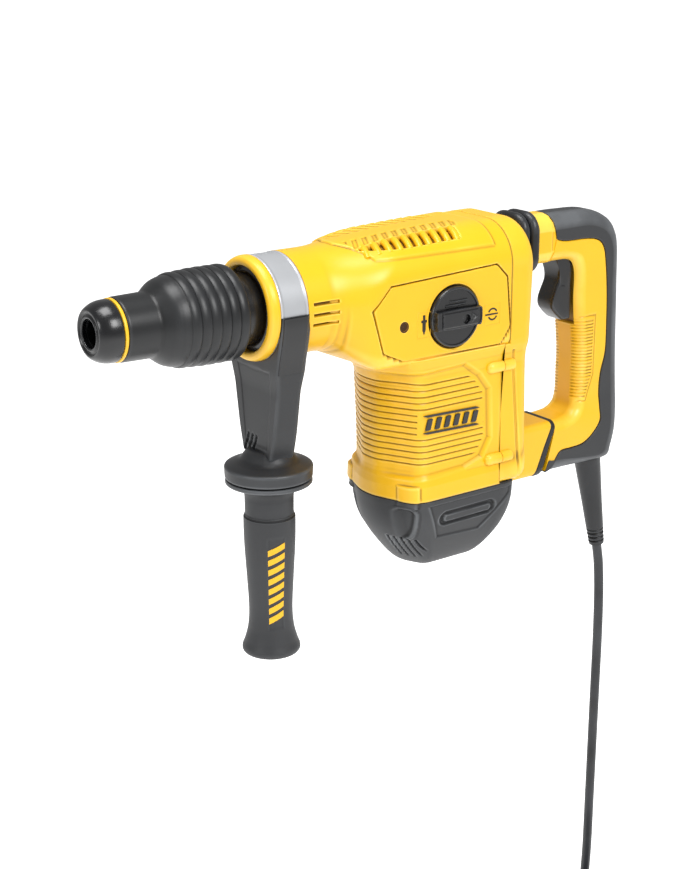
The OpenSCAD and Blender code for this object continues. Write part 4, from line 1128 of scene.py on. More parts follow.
@dataclass
class Motor(Assembly):
    """Upright motor: yellow housing with grooved sides, and the dark end cap below it."""

    half_w: float = 42.0
    top_z: float = -43.8
    joint_z: float = -150.7
    seam_x: float = 186.1
    rear_x: float = 206.6
    wall: float = 3.0
    groove_pitch: float = 4.55
    boss_y: float = 42.6
    boss_r: float = 4.6
    boss_levels: tuple = ((-60.6, "upper"), (-130.2, "lower"))
    recess: tuple = ((78, -57.5), (151, -54.5), (165, -64.0), (174.5, -76.0), (176.5, -113.0),
        (169.0, -126.5), (153.0, -131.5), (78, -134.0))
    trapezoid: tuple = ((121.5, -155.5), (131.5, -182.0), (171.0, -184.0), (198.0, -160.0),
        (199.0, -155.0))

    def build(self) -> None:
        """Builds the housing, the cap, the screw bosses and the plain stripe."""
        self._housing()
        self._stripe()
        self._cap()
        self._bosses()

    def _plan(self, count: int) -> Array:
        """Open plan outline from the near rear edge round the bowed front to the far one.

        Columns X as a share of the way from front to rear, and Y as a share of the width.
        """
        corners = [(1.0, -1.0), (0.185, -1.0), (0.07, -0.57), (0.012, -0.2), (0.012, 0.2),
            (0.07, 0.57), (0.185, 1.0), (1.0, 1.0)]
        scale = np.array([91.5, self.half_w])
        line = rounded(np.array(corners) * scale, [0, 9, 5, 8, 8, 5, 9, 0], 12)
        run = np.r_[0.0, np.cumsum(np.linalg.norm(np.diff(line, axis=0), axis=1))]
        at = fine_steps(0, run[-1], 1.15, [(0, run[-1] * 0.62, 0.72)])
        at = np.interp(np.linspace(0, 1, count), np.linspace(0, 1, len(at)), at)
        return np.stack([np.interp(at, run, line[:, k]) for k in (0, 1)], 1) / scale

    def _front(self, z: Array) -> Array:
        """X of the front at each height: flared under the chin, tapering down, then a skirt."""
        levels = [-151.0, -141.0, -136.5, -129.0, -105.0, -85.0, -66.0, -57.0, -50.0, -43.0]
        places = [94.6, 94.8, 95.6, 96.4, 96.0, 95.2, 94.4, 90.5, 84.5, 80.0]
        return np.interp(z, levels, places)

    def _width(self, z: Array) -> Array:
        """Half width at each height: flush with the cover on top, a skirt at the bottom."""
        levels = [-151.0, -140.0, -134.0, -60.0, -52.0, -46.0, -43.0]
        places = [43.6, 43.2, 42.0, 42.3, 43.4, 45.4, 45.8]
        return np.interp(z, levels, places)

    def _shell(self, plan: Array, z: Array, inset: float) -> Array:
        """The housing's surface at plan shares and heights, moved in by inset."""
        front = self._front(z)[:, None] + inset
        cut = 0.028 * (smooth(-60.0, -126.0, z) - 0.6 * smooth(-129.0, -137.0, z))[:, None]
        corner = smooth(0.1, 0.5, np.abs(plan[:, 1])) * (1 - plan[:, 0]) ** 7
        x = front + (self.seam_x - front) * (plan[:, 0] + cut * corner)
        y = (self._width(z)[:, None] - inset) * plan[None, :, 1]
        return joined(x, y, z[:, None])

    def _housing(self) -> None:
        """Housing as a U-shaped wall: at each place along the U, a ring up the outside and
        down the inside."""
        z = np.linspace(self.top_z, self.joint_z, 200)
        plan = self._plan(300)
        outside = self._shell(plan, z, 0.0)
        x, y, height = outside[..., 0], outside[..., 1], outside[..., 2]
        inside_field = polygon_depth(x, height, self.recess)
        recess = smooth(-2.6, 1.8, inside_field) * (0.2 + 0.8 * smooth(8, 30, np.abs(y)))
        depth = -2.3 * recess
        count = np.arange(14)
        levels = -64.5 - self.groove_pitch * count
        lines = np.max(window(-0.3, 0.3, 0.55, height[..., None] - levels), -1)
        reach = smooth(3.6, 5.2, inside_field)
        clear = 1 - window(112.0, 171.0, 1.0, x) * window(-103.5, -84.5, 0.5, height) * (y < 0)
        grooves = lines * reach * clear
        depth = depth - 0.7 * grooves
        for side in (-1, 1):
            boss = np.clip(1 - ((x - 108.2) / 5.0) ** 2, 0, 1) ** 0.5
            depth = depth + 2.2 * boss * smooth(-138.6, -140.6, height) * (side * y > 20)
        notch = polygon_depth(x, height, [(81.5, -47.0), (94.5, -48.0), (86.5, -55.5), (80, -52)])
        depth = depth - 3.0 * smooth(-0.4, 1.2, notch) * (np.abs(y) > 25)
        rim = np.maximum(smooth(self.seam_x - 1.0, self.seam_x - 0.4, x),
            smooth(self.joint_z + 0.8, self.joint_z + 0.3, height))
        depth = depth - 0.3 * rim
        outside = outside + grid_normals(outside, False) * depth[..., None]
        inner_z = np.linspace(self.joint_z, self.top_z, 12)
        inside = self._shell(plan, inner_z, self.wall + 1.6)
        grid = np.concatenate([outside, inside], 0).transpose(1, 0, 2)
        mark = np.zeros(grid.shape[:2])
        # Painted shade in the grooves and the rim seams.
        mark[:, :len(z)] = np.maximum(0.3 * grooves, 0.5 * rim).T
        self.form("motor_housing_moulding", grid, YELLOW, "housing", "yellow_plastic",
            "motor_housing", crease=mark)

    def _stripe(self) -> None:
        """A plain dark stripe of slanted bars between two thin lines on the near side."""
        y = -self.half_w + 1.35
        sets = [np.array([(115.5, -86.6), (167.3, -88.0), (167.3, -89.4), (115.5, -88.0)]),
            np.array([(115.5, -99.2), (167.3, -100.6), (167.3, -102.0), (115.5, -100.6)])]
        start = np.arange(6) * 8.4 + 117.6
        for place in start:
            top, low = -89.6 - (place - 115.5) * 0.027, -97.8 - (place - 115.5) * 0.027
            sets.append(np.array([(place, low), (place + 4.4, low), (place + 6.6, top),
                (place + 2.2, top)]))
        rings = [slab(even(rounded(shape, 0.3, 3, True), 24, True), y - 0.45, y + 0.6, 0.12)
            for shape in sets]
        self.many("side_stripe_bars", np.stack(rings), SOFT_GREY, "housing", "grey_plastic")

    def _cap(self) -> None:
        """End cap as a cup: inside from its pole to the rim, then outside down to the pole.

        Front, rear and half width follow the height by smooth curves; the last rings
        shrink to a shallow dome.
        """
        corners = [(0.16, -1.0), (0.07, -0.57), (0.012, -0.2), (0.012, 0.2), (0.07, 0.57),
            (0.16, 1.0), (0.93, 1.0), (1.0, 0.8), (1.0, -0.8), (0.93, -1.0)]
        scale = np.array([113.0, self.half_w])
        plan = even(rounded(np.array(corners) * scale, [12, 11, 9, 9, 11, 12, 9, 9, 9, 9], 12,
            True), 360, True) / scale
        side = np.array([(-150.9, 94.8, 206.6, 43.2), (-156.0, 95.0, 206.6, 43.0),
            (-166.0, 96.4, 206.0, 42.2), (-176.0, 99.6, 203.4, 40.4), (-186.0, 105.2, 199.0, 37.2),
            (-196.0, 112.6, 192.6, 32.4), (-204.0, 119.4, 186.4, 27.0),
            (-209.0, 125.0, 181.4, 21.6), (-211.2, 130.5, 176.0, 15.5)])
        smooth_side = flowing(side, 20)
        outside = self._cap_rings(plan, smooth_side)
        x, y, z = outside[..., 0], outside[..., 1], outside[..., 2]
        flank = smooth(20, 30, np.abs(y))
        depth, mark = self._cap_features(x, y, z, flank)
        outside = outside + grid_normals(outside, True) * depth[..., None]
        last = smooth_side[-1]
        shares = np.linspace(0.92, 0.04, 10)
        dome = np.stack([self._cap_rings(plan, np.array([[last[0] - 0.4 * (1 - s**2),
            (last[1] + last[2]) / 2 - (last[2] - last[1]) / 2 * s,
            (last[1] + last[2]) / 2 + (last[2] - last[1]) / 2 * s, last[3] * s]]))[0] for s
            in shares])
        wall = smooth_side[::-16] + np.array([0, self.wall, -self.wall, -self.wall])
        wall[:, 0] = np.maximum(wall[:, 0], -207.0)
        wall[-1, 0] = smooth_side[0, 0]
        inner = self._cap_rings(plan, wall)
        grid = np.concatenate([inner, outside, dome])
        extra = np.zeros(grid.shape[:2])
        extra[len(inner):len(inner) + len(outside)] = mark
        self.form("motor_cap_moulding", grid, SOFT_GREY, "housing", "grey_plastic", "motor_end_cap",
            crease=extra)

    @staticmethod
    def _cap_rings(plan: Array, side: Array) -> Array:
        """Rings of the plan between front and rear X, at a half width and a height."""
        z, front, rear, half = (side[:, k, None] for k in range(4))
        x = front + (rear - front) * plan[None, :, 0]
        return joined(x, half * plan[None, :, 1], z)

    def _cap_features(self, x: Array, y: Array, z: Array, flank: Array) -> tuple[Array, Array]:
        """Depths and seam marks of the cap: recess, slot, corner groove, boss and slits; the seam
        marks are painted shade.
        """
        field_in = polygon_depth(x, z, self.trapezoid)
        depth = -1.1 * smooth(-0.8, 0.8, field_in) * flank
        slot = stadium(x, z, ((137.5, -168.2), (178.5, -167.6)), 5.4)
        bar = stadium(x, z, ((138.5, -168.3), (177.5, -167.8)), 2.9)
        depth += flank * (-1.7 * smooth(-0.4, 0.5, slot) + 1.7 * smooth(-0.6, 0.6, bar))
        corner = stadium(x, z, ((106.6, -162.0), (107.6, -179.5)), 4.9)
        depth += -2.4 * smooth(-0.7, 1.6, corner) * flank
        rim = window(-1.8, -0.4, 0.8, corner) * flank
        boss = np.clip(1 - ((x - 108.2) / 4.6) ** 2, 0, 1) ** 0.5
        depth += 0.5 * rim + 1.9 * boss * window(-156.0, -150.0, 0.8, z) * flank
        comb = 0.5 + 0.5 * np.cos(2 * np.pi * (np.abs(y) - 12.0) / 5.2)
        slits = smooth(0.72, 0.9, comb) * window(9.0, 33.0, 0.6, np.abs(y))
        slits = slits * window(-200.0, -183.0, 1.2, z) * smooth(128.0, 122.0, x)
        depth -= 1.8 * slits
        edge = smooth(-151.9, -151.3, z)
        depth -= 0.5 * edge
        # The marks paint shade into the slits, the top edge and round the slot.
        return depth, np.maximum(np.maximum(0.9 * slits, 0.7 * edge),
            0.5 * window(-0.3, 0.5, 0.4, slot) * flank)

    def _bosses(self, count: int = 26) -> None:
        """Half-round screw bosses across the rear seam, one half on each housing.

        Each is a tube along X whose radius closes with a quarter circle at its outer end;
        the rear half ends in a sunk screw hole.
        """
        reach = np.linspace(0, np.pi / 2, 8)[::-1]
        for level, tag in self.boss_levels:
            for side, hand in ((-1.0, "near"), (1.0, "far")):
                front = np.r_[171.6 + self.boss_r * (1 - np.sin(reach)), 185.9]
                front_r = np.r_[self.boss_r * np.cos(reach) + 0.05, self.boss_r]
                path = joined(front, side * self.boss_y, level)
                self.form(f"screw_boss_{tag}_{hand}",
                    tube(path, front_r, count, (0, 0, 1), (0.8, 0.9)), YELLOW, "housing",
                    "yellow_plastic")
                rear = np.array([186.4, 190.0, 195.4, 196.4, 196.6, 196.4, 192.5, 192.4])
                radii = np.array([self.boss_r] * 3 + [4.2, 3.6, 3.1, 3.0, 0.2])
                path = joined(rear, side * self.boss_y, level)
                steady = joined(np.linspace(0, 1, 8), 0.0, 0.0)
                grid = tube(steady, radii, count, (0, 0, 1), (0.8, 0.9))
                grid = grid - steady[:, None] + path[:, None]
                self.form(f"screw_seat_{tag}_{hand}", grid, YELLOW, "housing", "yellow_plastic")


# --- Rear housing ---


def joint_x(z: Array) -> Array:
    """X of the lower joint's slanted front face at a height."""
    levels = [-166.0, -162.0, -141.0, -126.0, -120.0]
    return np.interp(z, levels, [243.4, 244.6, 253.6, 260.6, 262.0])


@dataclass
class RearHousing(Assembly):
    """Yellow rear housing: a tall cup behind the gears and motor, and the lower arm."""

    seam_x: float = 185.5
    lap_x: float = 190.9
    rear_x: float = 212.9
    rim_r: float = 9.0
    wall: float = 3.0
    arm_half_w: float = 18.6
    arm_top: float = -122.6
    arm_bottom: float = -165.0
    centre_z: float = -52.0

    def build(self) -> None:
        """Builds the cup and the arm."""
        self._cup()
        self._arm()

    def _outline(self) -> Array:
        """Outline in Y and Z round the centre: the cover's section on top, the motor's below."""
        low = np.array([(-46.0, -30.0), (-45.8, -42.0), (-45.4, -46.0), (-43.4, -52.0),
            (-42.5, -60.0), (-42.3, -134.0), (-43.2, -141.0), (-43.2, -148.0), (-40.5, -150.6),
            (0.0, -150.6)])
        line = np.vstack([shoulders(), low, (low * np.array([-1, 1]))[-2::-1]])
        return line - np.array([0.0, self.centre_z])

    def _cup(self) -> None:
        """Cup: inside from its pole to the rim, then outside back and over a round edge.

        Rings shrink by rim_r (1 - sqrt(1 - t^2)) over the last rim_r of X, then evenly to
        the middle of the rear face.
        """
        angle = np.linspace(-np.pi, np.pi, 420, endpoint=False)
        base = polar_radius(self._outline(), angle)
        bend = self.rear_x - self.rim_r
        flat = fine_steps(self.seam_x, bend, 0.5, [(185.5, 192.0, 0.2)])
        w = np.linspace(0.08, np.pi / 2, 18)
        x = np.r_[flat, bend + self.rim_r * np.sin(w)]
        inset = np.r_[np.zeros(len(flat)), self.rim_r * (1 - np.cos(w))]
        radius = base[None] - inset[:, None]
        share = np.linspace(0.96, 0.02, 26)[:, None]
        radius = np.vstack([radius, radius[-1:] * share])
        x = np.r_[x, np.full(26, self.rear_x)]
        outside = self._rings(x, radius, angle)
        depth = self._features(outside)
        outside = outside + grid_normals(outside, True) * depth[..., None]
        inner_x = np.r_[np.full(4, self.rear_x - self.wall), self.rear_x - self.wall, self.seam_x]
        inner_share = np.array([0.05, 0.35, 0.65, 0.9])[:, None]
        core = base[None] - self.wall - 3.0
        inner = np.vstack([core * inner_share, core, core + 2.4])
        grid = np.concatenate([self._rings(inner_x, inner, angle), outside])
        self.form("rear_housing_moulding", grid, YELLOW, "housing", "yellow_plastic",
            "rear_housing")

    def _rings(self, x: Array, radius: Array, angle: Array) -> Array:
        """Rings at X with radii round the centre line."""
        y, z = radius * np.cos(angle), radius * np.sin(angle) + self.centre_z
        return joined(x[:, None], y, z)

    def _features(self, grid: Array) -> Array:
        """Depths: tucked under the cover at the front, a chamfer line, rear slots."""
        x, y, z = grid[..., 0], grid[..., 1], grid[..., 2]
        tuck = smooth(self.lap_x + 0.1, self.lap_x - 0.3, x) * smooth(-44.5, -43.5, z)
        groove = smooth(self.seam_x + 1.2, self.seam_x + 0.8, x) * (1 - tuck)
        depth = -2.6 * tuck - 0.35 * groove
        line = window(196.0, 197.4, 1.2, x + 0.10 * (z + 60)) * (np.abs(y) > 30) * (z < -50)
        depth -= 0.8 * line
        level = np.arange(6) * 7.0 - 112.0
        rear = smooth(self.rear_x - 0.3, self.rear_x - 0.05, x) * window(7, 26, 0.8, np.abs(y))
        slots = np.max(window(-1.1, 1.1, 0.5, z[..., None] - level), -1) * rear
        return depth - 1.6 * slots

    def _arm(self) -> None:
        """Lower arm: rings of a round-cornered section that end on the joint's slanted plane.

        A ring point at height z lies at 204 + s (joint_x(z) - 204) for the share s, and the
        section swells by 1.6 mm towards the housing.
        """
        mid, half = (self.arm_top + self.arm_bottom) / 2, (self.arm_top - self.arm_bottom) / 2
        corners = np.array([(-1, -1), (1, -1), (1, 1), (-1, 1)]) * (self.arm_half_w, half)
        section = even(rounded(corners, [7, 7, 6, 6], 10, True), 220, True)
        share = np.r_[np.linspace(0, 0.97, 60), 0.985, 0.997, 1.0]
        close = np.r_[np.zeros(60), 0.15, 0.5, 1.0]
        swell = 1.6 * (1 - smooth(0.1, 0.45, share)) - close
        size = np.abs(section).max(0)
        y = section[None, :, 0] * (1 + swell[:, None] / size[0])
        z = mid + section[None, :, 1] * (1 + swell[:, None] / size[1])
        x = 204.0 + share[:, None] * (joint_x(z) - 204.0)
        grid = joined(x, y, z)
        chamfer = polygon_depth(x, z, [(206, -118), (222, -118), (213.5, -131), (206, -131)])
        depth = -2.4 * smooth(-0.4, 2.6, chamfer) * (np.abs(y) > 12)
        grid = grid + grid_normals(grid, True) * depth[..., None]
        self.form("rear_housing_arm", grid, YELLOW, "housing", "yellow_plastic")


# --- Side handle ---


def loop_shape(radii: Sequence[float], sides: Sequence[int], steps: int = 7) -> tuple[Array,
        Array]:
    """Round-cornered rectangle as shares of its half sizes plus fixed offsets.

    A point is share x half size + offset, so one loop serves rings of every size while its
    corner radii stay the same.

    Args:
        radii: Corner radii from (+,+) anticlockwise, in millimetres.
        sides: Points between one corner and the next.
        steps: Points on each corner.
    Returns:
        Shares and offsets, one row a point.
    """
    shares, offsets = [], []
    signs = np.array([(1, 1), (-1, 1), (-1, -1), (1, -1)], float)
    for k in range(4):
        w = np.linspace(k, k + 1, steps) * np.pi / 2
        arc_offset = radii[k] * (np.stack([np.cos(w), np.sin(w)], 1) - signs[k])
        after = (k + 1) % 4
        t = np.linspace(0, 1, sides[k] + 2)[1:-1, None]
        start = radii[after] * (np.array([math.cos(w[-1]), math.sin(w[-1])]) - signs[after])
        shares += [np.repeat(signs[k:k + 1], steps, 0), signs[k] * (1 - t) + signs[after] * t]
        offsets += [arc_offset, arc_offset[-1:] * (1 - t) + start * t]
    return np.vstack(shares), np.vstack(offsets)


@dataclass
class SideHandle(Assembly):
    """Clamp band and bracket round the collar, with the side grip below."""

    axis_x: float = 11.8
    band: tuple = (0.5, 22.1)
    band_r: float = 35.75
    foot_z: float = -106.0
    flange_r: float = 31.0
    grip_end: float = -252.6
    inlay_turn: float = 108.0

    def build(self) -> None:
        """Builds the band, the bracket, its flange and the grip."""
        self._band()
        self._bracket()
        self._flange()
        self._grip()

    def _band(self) -> None:
        """Clamp band: a flat ring with small turned-up rims."""
        x0, x1 = self.band
        r = self.band_r
        profile = rounded([(x0, 34.65), (x0, r), (x0 + 1.4, r), (x0 + 1.9, r - 0.45),
            (x1 - 1.9, r - 0.45), (x1 - 1.4, r), (x1, r), (x1, 34.65)],
            [0.1, 0.4, 0.3, 0.3, 0.3, 0.3, 0.4, 0.1], 4, True)
        self.form("clamp_band_strip", turned(even(profile, 90, True), 200), BAND_METAL,
            "side_handle", "band_steel", "clamp_band", wrap_rows=True)

    def _side(self) -> Array:
        """Half of the bracket's outline, as Y and Z from beside the collar to the foot."""
        return rounded([(36.6, 0.0), (36.4, -8.0), (34.2, -20.0), (30.0, -35.0), (25.8, -60.0),
            (21.0, -88.0), (17.6, -101.0), (16.5, self.foot_z), (0, self.foot_z)],
            [0, 4, 8, 8, 8, 6, 4, 3, 0], 8)

    def _bracket(self) -> None:
        """Bracket as rings round the collar axis, each from the collar out to the outline.

        A ring at one angle runs from radius 35.9 to the outline along both faces. Its
        faces narrow from the band's width to the foot's, and the front face has a sunk
        panel with three slanted slots at its base.
        """
        half = self._side()
        outline = np.vstack([half, (half * np.array([-1, 1]))[::-1][1:]])
        outline = np.vstack([outline, [(0.0, 60.0)]])
        angle = np.radians(fine_steps(181.0, 359.0, 1.1, [(252, 288, 0.42)]))
        reach = polar_radius(outline, angle)
        share, offset = loop_shape([2.4, 0.4, 0.4, 2.4], [66, 4, 66, 14], 6)
        low, high = np.full(len(angle), 35.9), reach
        radius = (low + high)[:, None] / 2 + share[None, :, 0] * (high - low)[:, None] / 2
        radius = radius + offset[None, :, 0]
        y, z = radius * np.cos(angle)[:, None], radius * np.sin(angle)[:, None]
        thin = smooth(-38.0, -58.0, z)
        front = self.band[0] - 0.1 + 1.6 * thin
        rear = self.band[1] + 0.1 + 1.9 * smooth(-4.0, -14.0, z) - 2.2 * thin
        x = (front + rear) / 2 + share[None, :, 1] * (rear - front) / 2 + offset[None, :, 1]
        grid = joined(x, y, z)
        panel = polygon_depth(y, z, [(-19.5, -41.5), (19.5, -41.5), (13.5, -97.0), (-13.5, -97.0)])
        on_front = smooth(6.0, 3.0, x)
        on_rear = smooth(18.0, 21.0, x)
        depth = -0.5 * smooth(-0.5, 0.5, panel) * (on_front + on_rear)
        slots = np.max(window(-0.7, 0.7, 0.6, (y + 0.35 * (z + 97.0))[..., None]
            - np.array([2.5, 7.5, 12.5])), -1)
        slots = slots * window(-104.0, -91.0, 1.2, z) * on_front
        depth = depth - 2.0 * slots
        grid = grid + grid_normals(grid, True) * depth[..., None]
        # Painted shade in the slots and round the sunk panel.
        mark = np.maximum(slots, 0.3 * window(-0.5, 0.5, 0.4, panel) * on_front)
        self.form("handle_bracket_moulding", grid, NYLON_GREY, "side_handle", "grey_plastic",
            "handle_bracket", crease=mark)
        self._cheek(-1.0, "near")
        self._cheek(1.0, "far")

    def _cheek(self, side: float, hand: str) -> None:
        """Glossy plate on one flank of the bracket, following its outline down to Z -40."""
        line = self._side()
        z = np.linspace(-1.2, -41.0, 70)
        y = np.interp(z, line[::-1, 1], line[::-1, 0])
        share, offset = loop_shape([1.2, 0.3, 0.3, 1.2], [2, 6, 2, 30], 5)
        x = 11.3 + share[:, 1] * 9.6 + offset[:, 1]
        out = y[:, None] + 0.1 + share[None, :, 0] * 0.9 + np.minimum(offset[None, :, 0], 0) * 0.5
        grid = joined(x, side * out, z[:, None])
        self.form(f"bracket_cheek_{hand}", grid, BLACK_GLOSS, "side_handle", "black_plastic")

    def _flange(self) -> None:
        """Round flange at the bracket's foot, turned round the grip's axis."""
        r = self.flange_r
        profile = rounded([(-100.0, 0.6), (-100.0, 14.0), (-104.0, 17.5), (-108.2, 20.5),
            (-110.6, 27.0), (-112.2, r), (-120.2, r - 0.4), (-120.5, r - 2.0), (-120.5, 0.6)],
            [0.1, 3, 2, 2.5, 2, 1.2, 0.5, 0.5, 0.1], 7)
        self.form("bracket_flange", turned(even(profile, 110), 128, (self.axis_x, 0, 0), "z"),
            NYLON_GREY, "side_handle", "grey_plastic")

    def _grip(self) -> None:
        """Side grip: flange, collar step, waist and flared end, with shallow rings and a
        plain sunk stripe along the side that shows."""
        outer = flowing([(-147.6, 17.2), (-148.6, 17.9), (-152.0, 18.3), (-170.0, 18.0),
            (-195.0, 16.6), (-218.0, 15.5), (-232.0, 16.3), (-242.0, 18.6), (-248.0, 20.7),
            (-251.0, 20.2), (self.grip_end, 17.6)], 14)
        head = rounded([(-121.7, 0.8), (-121.7, 30.3), (-124.5, 30.5), (-126.2, 24.5),
            (-129.0, 18.6), (-134.0, 17.2), (-147.2, 17.1)], [0.1, 0.7, 0.7, 2.0, 2.4, 2.0, 0.1],
            7)
        profile = np.vstack([even(head, 90), even(outer, 280),
            [(self.grip_end - 0.02, 12.0), (self.grip_end, 0.8)]])
        grid = turned(profile, 200, (self.axis_x, 0, 0), "z")
        x, y, z = grid[..., 0] - self.axis_x, grid[..., 1], grid[..., 2]
        around = np.degrees(np.arctan2(y, x))
        flat = window(-17, 17, 4, around + self.inlay_turn) * window(-229.0, -163.0, 3.0, z)
        slit = window(-149.3, -148.2, 0.2, z)
        grid = grid - grid_normals(grid, True) * (0.35 * flat + 0.5 * slit)[..., None]
        # The slit is darkened by painted shade through its crease mark.
        self.form("side_grip_rubber", grid, SOFT_GREY, "grip", "grey_softgrip", "side_grip",
            crease=slit)
        self._inlay(outer)

    def _inlay(self, outer: Array) -> None:
        """Plain yellow inlay on the grip: two thin lines with short slanted bars between."""
        t = np.linspace(0, 1, 14)[:, None]
        across = np.array([-1, -0.5, 0, 0.5, 1, 1, 0.5, 0, -0.5, -1])[None]
        lift = np.array([0, 0, 0, 0, 0, -0.8, -0.8, -0.8, -0.8, -0.8])[None]
        bars = [(-165.0, -227.0, 8.2, 0.7, 0.0), (-165.0, -227.0, -8.2, 0.7, 0.0)]
        bars += [(-167.5 - 7.4 * k, -171.9 - 7.4 * k, 0.0, 6.0, 2.6) for k in range(8)]
        rings = []
        for top, low, middle, half, slant in bars:
            z = top + (low - top) * t + slant * across
            turn = np.radians(-self.inlay_turn + 3.3 * (middle + half * across))
            r = np.interp(-z, -outer[:, 0], outer[:, 1]) + lift - 0.05
            rings.append(np.stack([self.axis_x + r * np.cos(turn), r * np.sin(turn), z], -1))
        self.many("grip_inlay_bars", np.stack(rings), YELLOW, "grip", "yellow_plastic")


# --- Rear handle ---


@dataclass
class RearHandle(Assembly):
    """D-shaped rear handle: yellow shell, soft cover, trigger, bellows and joint gasket.

    Each station holds the outer edge, the seam between cover and shell, and the inner
    edge, as X and Z, and then half the width.
    """

    stations: tuple = ((256.5, 37.2, 260.5, 18.5, 256.0, 0.6, 15.5),
        (263.0, 37.4, 265.0, 17.0, 260.0, 0.9, 15.5), (276.0, 37.3, 272.0, 16.0, 266.0, 1.0, 15.5),
        (300.0, 36.0, 290.0, 15.6, 274.0, 0.8, 15.5),
        (316.6, 29.5, 302.5, 13.6, 280.0, -1.5, 15.5),
        (325.2, 20.5, 309.5, 7.5, 283.0, -7.0, 15.5),
        (329.2, 7.0, 312.6, -5.0, 284.0, -15.0, 15.5),
        (331.2, -25.0, 315.2, -27.5, 284.0, -32.0, 15.5),
        (332.2, -48.0, 316.2, -49.0, 285.5, -49.5, 15.5),
        (333.2, -75.0, 316.4, -75.0, 288.0, -75.0, 15.5),
        (334.2, -92.0, 312.2, -92.5, 288.0, -92.0, 15.5),
        (335.4, -108.0, 311.3, -108.0, 288.0, -107.5, 15.5),
        (336.0, -124.0, 312.4, -120.5, 287.0, -116.0, 16.2),
        (334.6, -142.0, 312.4, -131.5, 284.0, -120.2, 17.2),
        (330.2, -156.0, 303.5, -141.0, 279.5, -122.4, 18.2),
        (325.0, -164.2, 293.0, -146.3, 274.0, -123.2, 18.8),
        (305.0, -165.0, 281.0, -147.4, 270.5, -123.4, 19.0),
        (280.0, -165.0, 269.0, -148.4, 267.6, -123.5, 19.0),
        (262.0, -165.0, 260.4, -158.6, 265.4, -123.5, 19.0),
        (252.6, -165.0, 254.0, -161.5, 264.4, -123.5, 19.0))
    bellows: tuple = (222.8, 241.4)
    collar_rear: float = 262.0
    trigger_half: float = 9.0

    def build(self) -> None:
        """Builds the shell, the cover, the trigger and the two flexible joints."""
        rows = even(flowing(self.stations, 18), 330)
        self._shell(rows)
        self._cover(rows)
        self._arm("handle_arm_collar", (self.bellows[1], self.collar_rear), "rear_handle")
        self._arm("rear_housing_collar", (206.0, self.bellows[0]), "housing")
        self._trigger()
        self._bellows()
        self._gasket()

    @staticmethod
    def _sections(rows: Array, start: slice, stop: slice, share: Array, offset: Array) -> Array:
        """Rings between two chosen edges of every row, square to the plane of the handle.

        Args:
            rows: Stations along the handle.
            start: Columns of the first edge's X and Z.
            stop: Columns of the second edge's X and Z.
            share: Shares of the half sizes.
            offset: Offsets of the corners in millimetres.
        Returns:
            A grid of rings.
        """
        a, b, half = rows[:, start], rows[:, stop], rows[:, 6:7]
        reach = np.linalg.norm(b - a, axis=1, keepdims=True) / 2
        along = (b - a) / (2 * reach)
        p = share[None, :, 0] * reach + offset[None, :, 0]
        q = share[None, :, 1] * half + offset[None, :, 1]
        middle = (a + b) / 2
        x = middle[:, :1] + p * along[:, :1]
        z = middle[:, 1:] + p * along[:, 1:]
        return np.stack([x, q, z], -1)

    def _shell(self, rows: Array) -> None:
        """Yellow shell from the seam to the inner edge, with a trigger slot and fine ribs."""
        share, offset = loop_shape([8.5, 1.0, 1.0, 8.5], [46, 8, 46, 40], 9)
        grid = self._sections(rows, slice(2, 4), slice(4, 6), share, offset)
        x, y, z = grid[..., 0], grid[..., 1], grid[..., 2]
        flank = smooth(12.5, 14.5, np.abs(y))
        inward = smooth(0.55, 0.95, np.broadcast_to(share[None, :, 0], x.shape))
        slot = window(-9.6, 9.6, 0.5, y) * window(-50.5, 2.0, 1.0, z) * inward * (x > 264)
        field_in = polygon_depth(x, z, [(280.0, -46.0), (307.0, -46.0), (307.0, -82.0),
            (303.5, -92.0), (303.5, -112.0), (280.0, -112.0)])
        wave = (0.5 + 0.5 * np.cos(2 * np.pi * z / 2.6)) ** 2
        ribs = smooth(0.6, 1.4, field_in) * wave * smooth(6.0, 8.5, np.abs(y))
        border = window(-1.1, -0.3, 0.35, field_in) * flank
        depth = -3.6 * slot - 0.7 * ribs - 0.45 * border
        grid = grid + grid_normals(grid, True) * depth[..., None]
        # Painted shade in the trigger slot, between the ribs and along the border.
        mark = np.maximum(0.75 * slot, np.maximum(0.25 * ribs, 0.3 * border))
        self.form("handle_shell_moulding", grid, YELLOW, "rear_handle", "yellow_plastic",
            "handle_shell", crease=mark)

    def _cover(self, rows: Array) -> None:
        """Soft cover from the outer edge to the seam, half a millimetre proud of the shell."""
        share, offset = loop_shape([0.9, 11.5, 11.5, 0.9], [6, 34, 40, 34], 9)
        lifted = rows.copy()
        lifted[:, 6] += 0.5
        lifted[:, 2:4] += (rows[:, 0:2] - rows[:, 2:4]) * 0.02
        grid = self._sections(lifted, slice(0, 2), slice(2, 4), share, offset)
        self.form("handle_cover_rubber", grid, SOFT_GREY, "rear_handle", "grey_softgrip",
            "handle_cover")

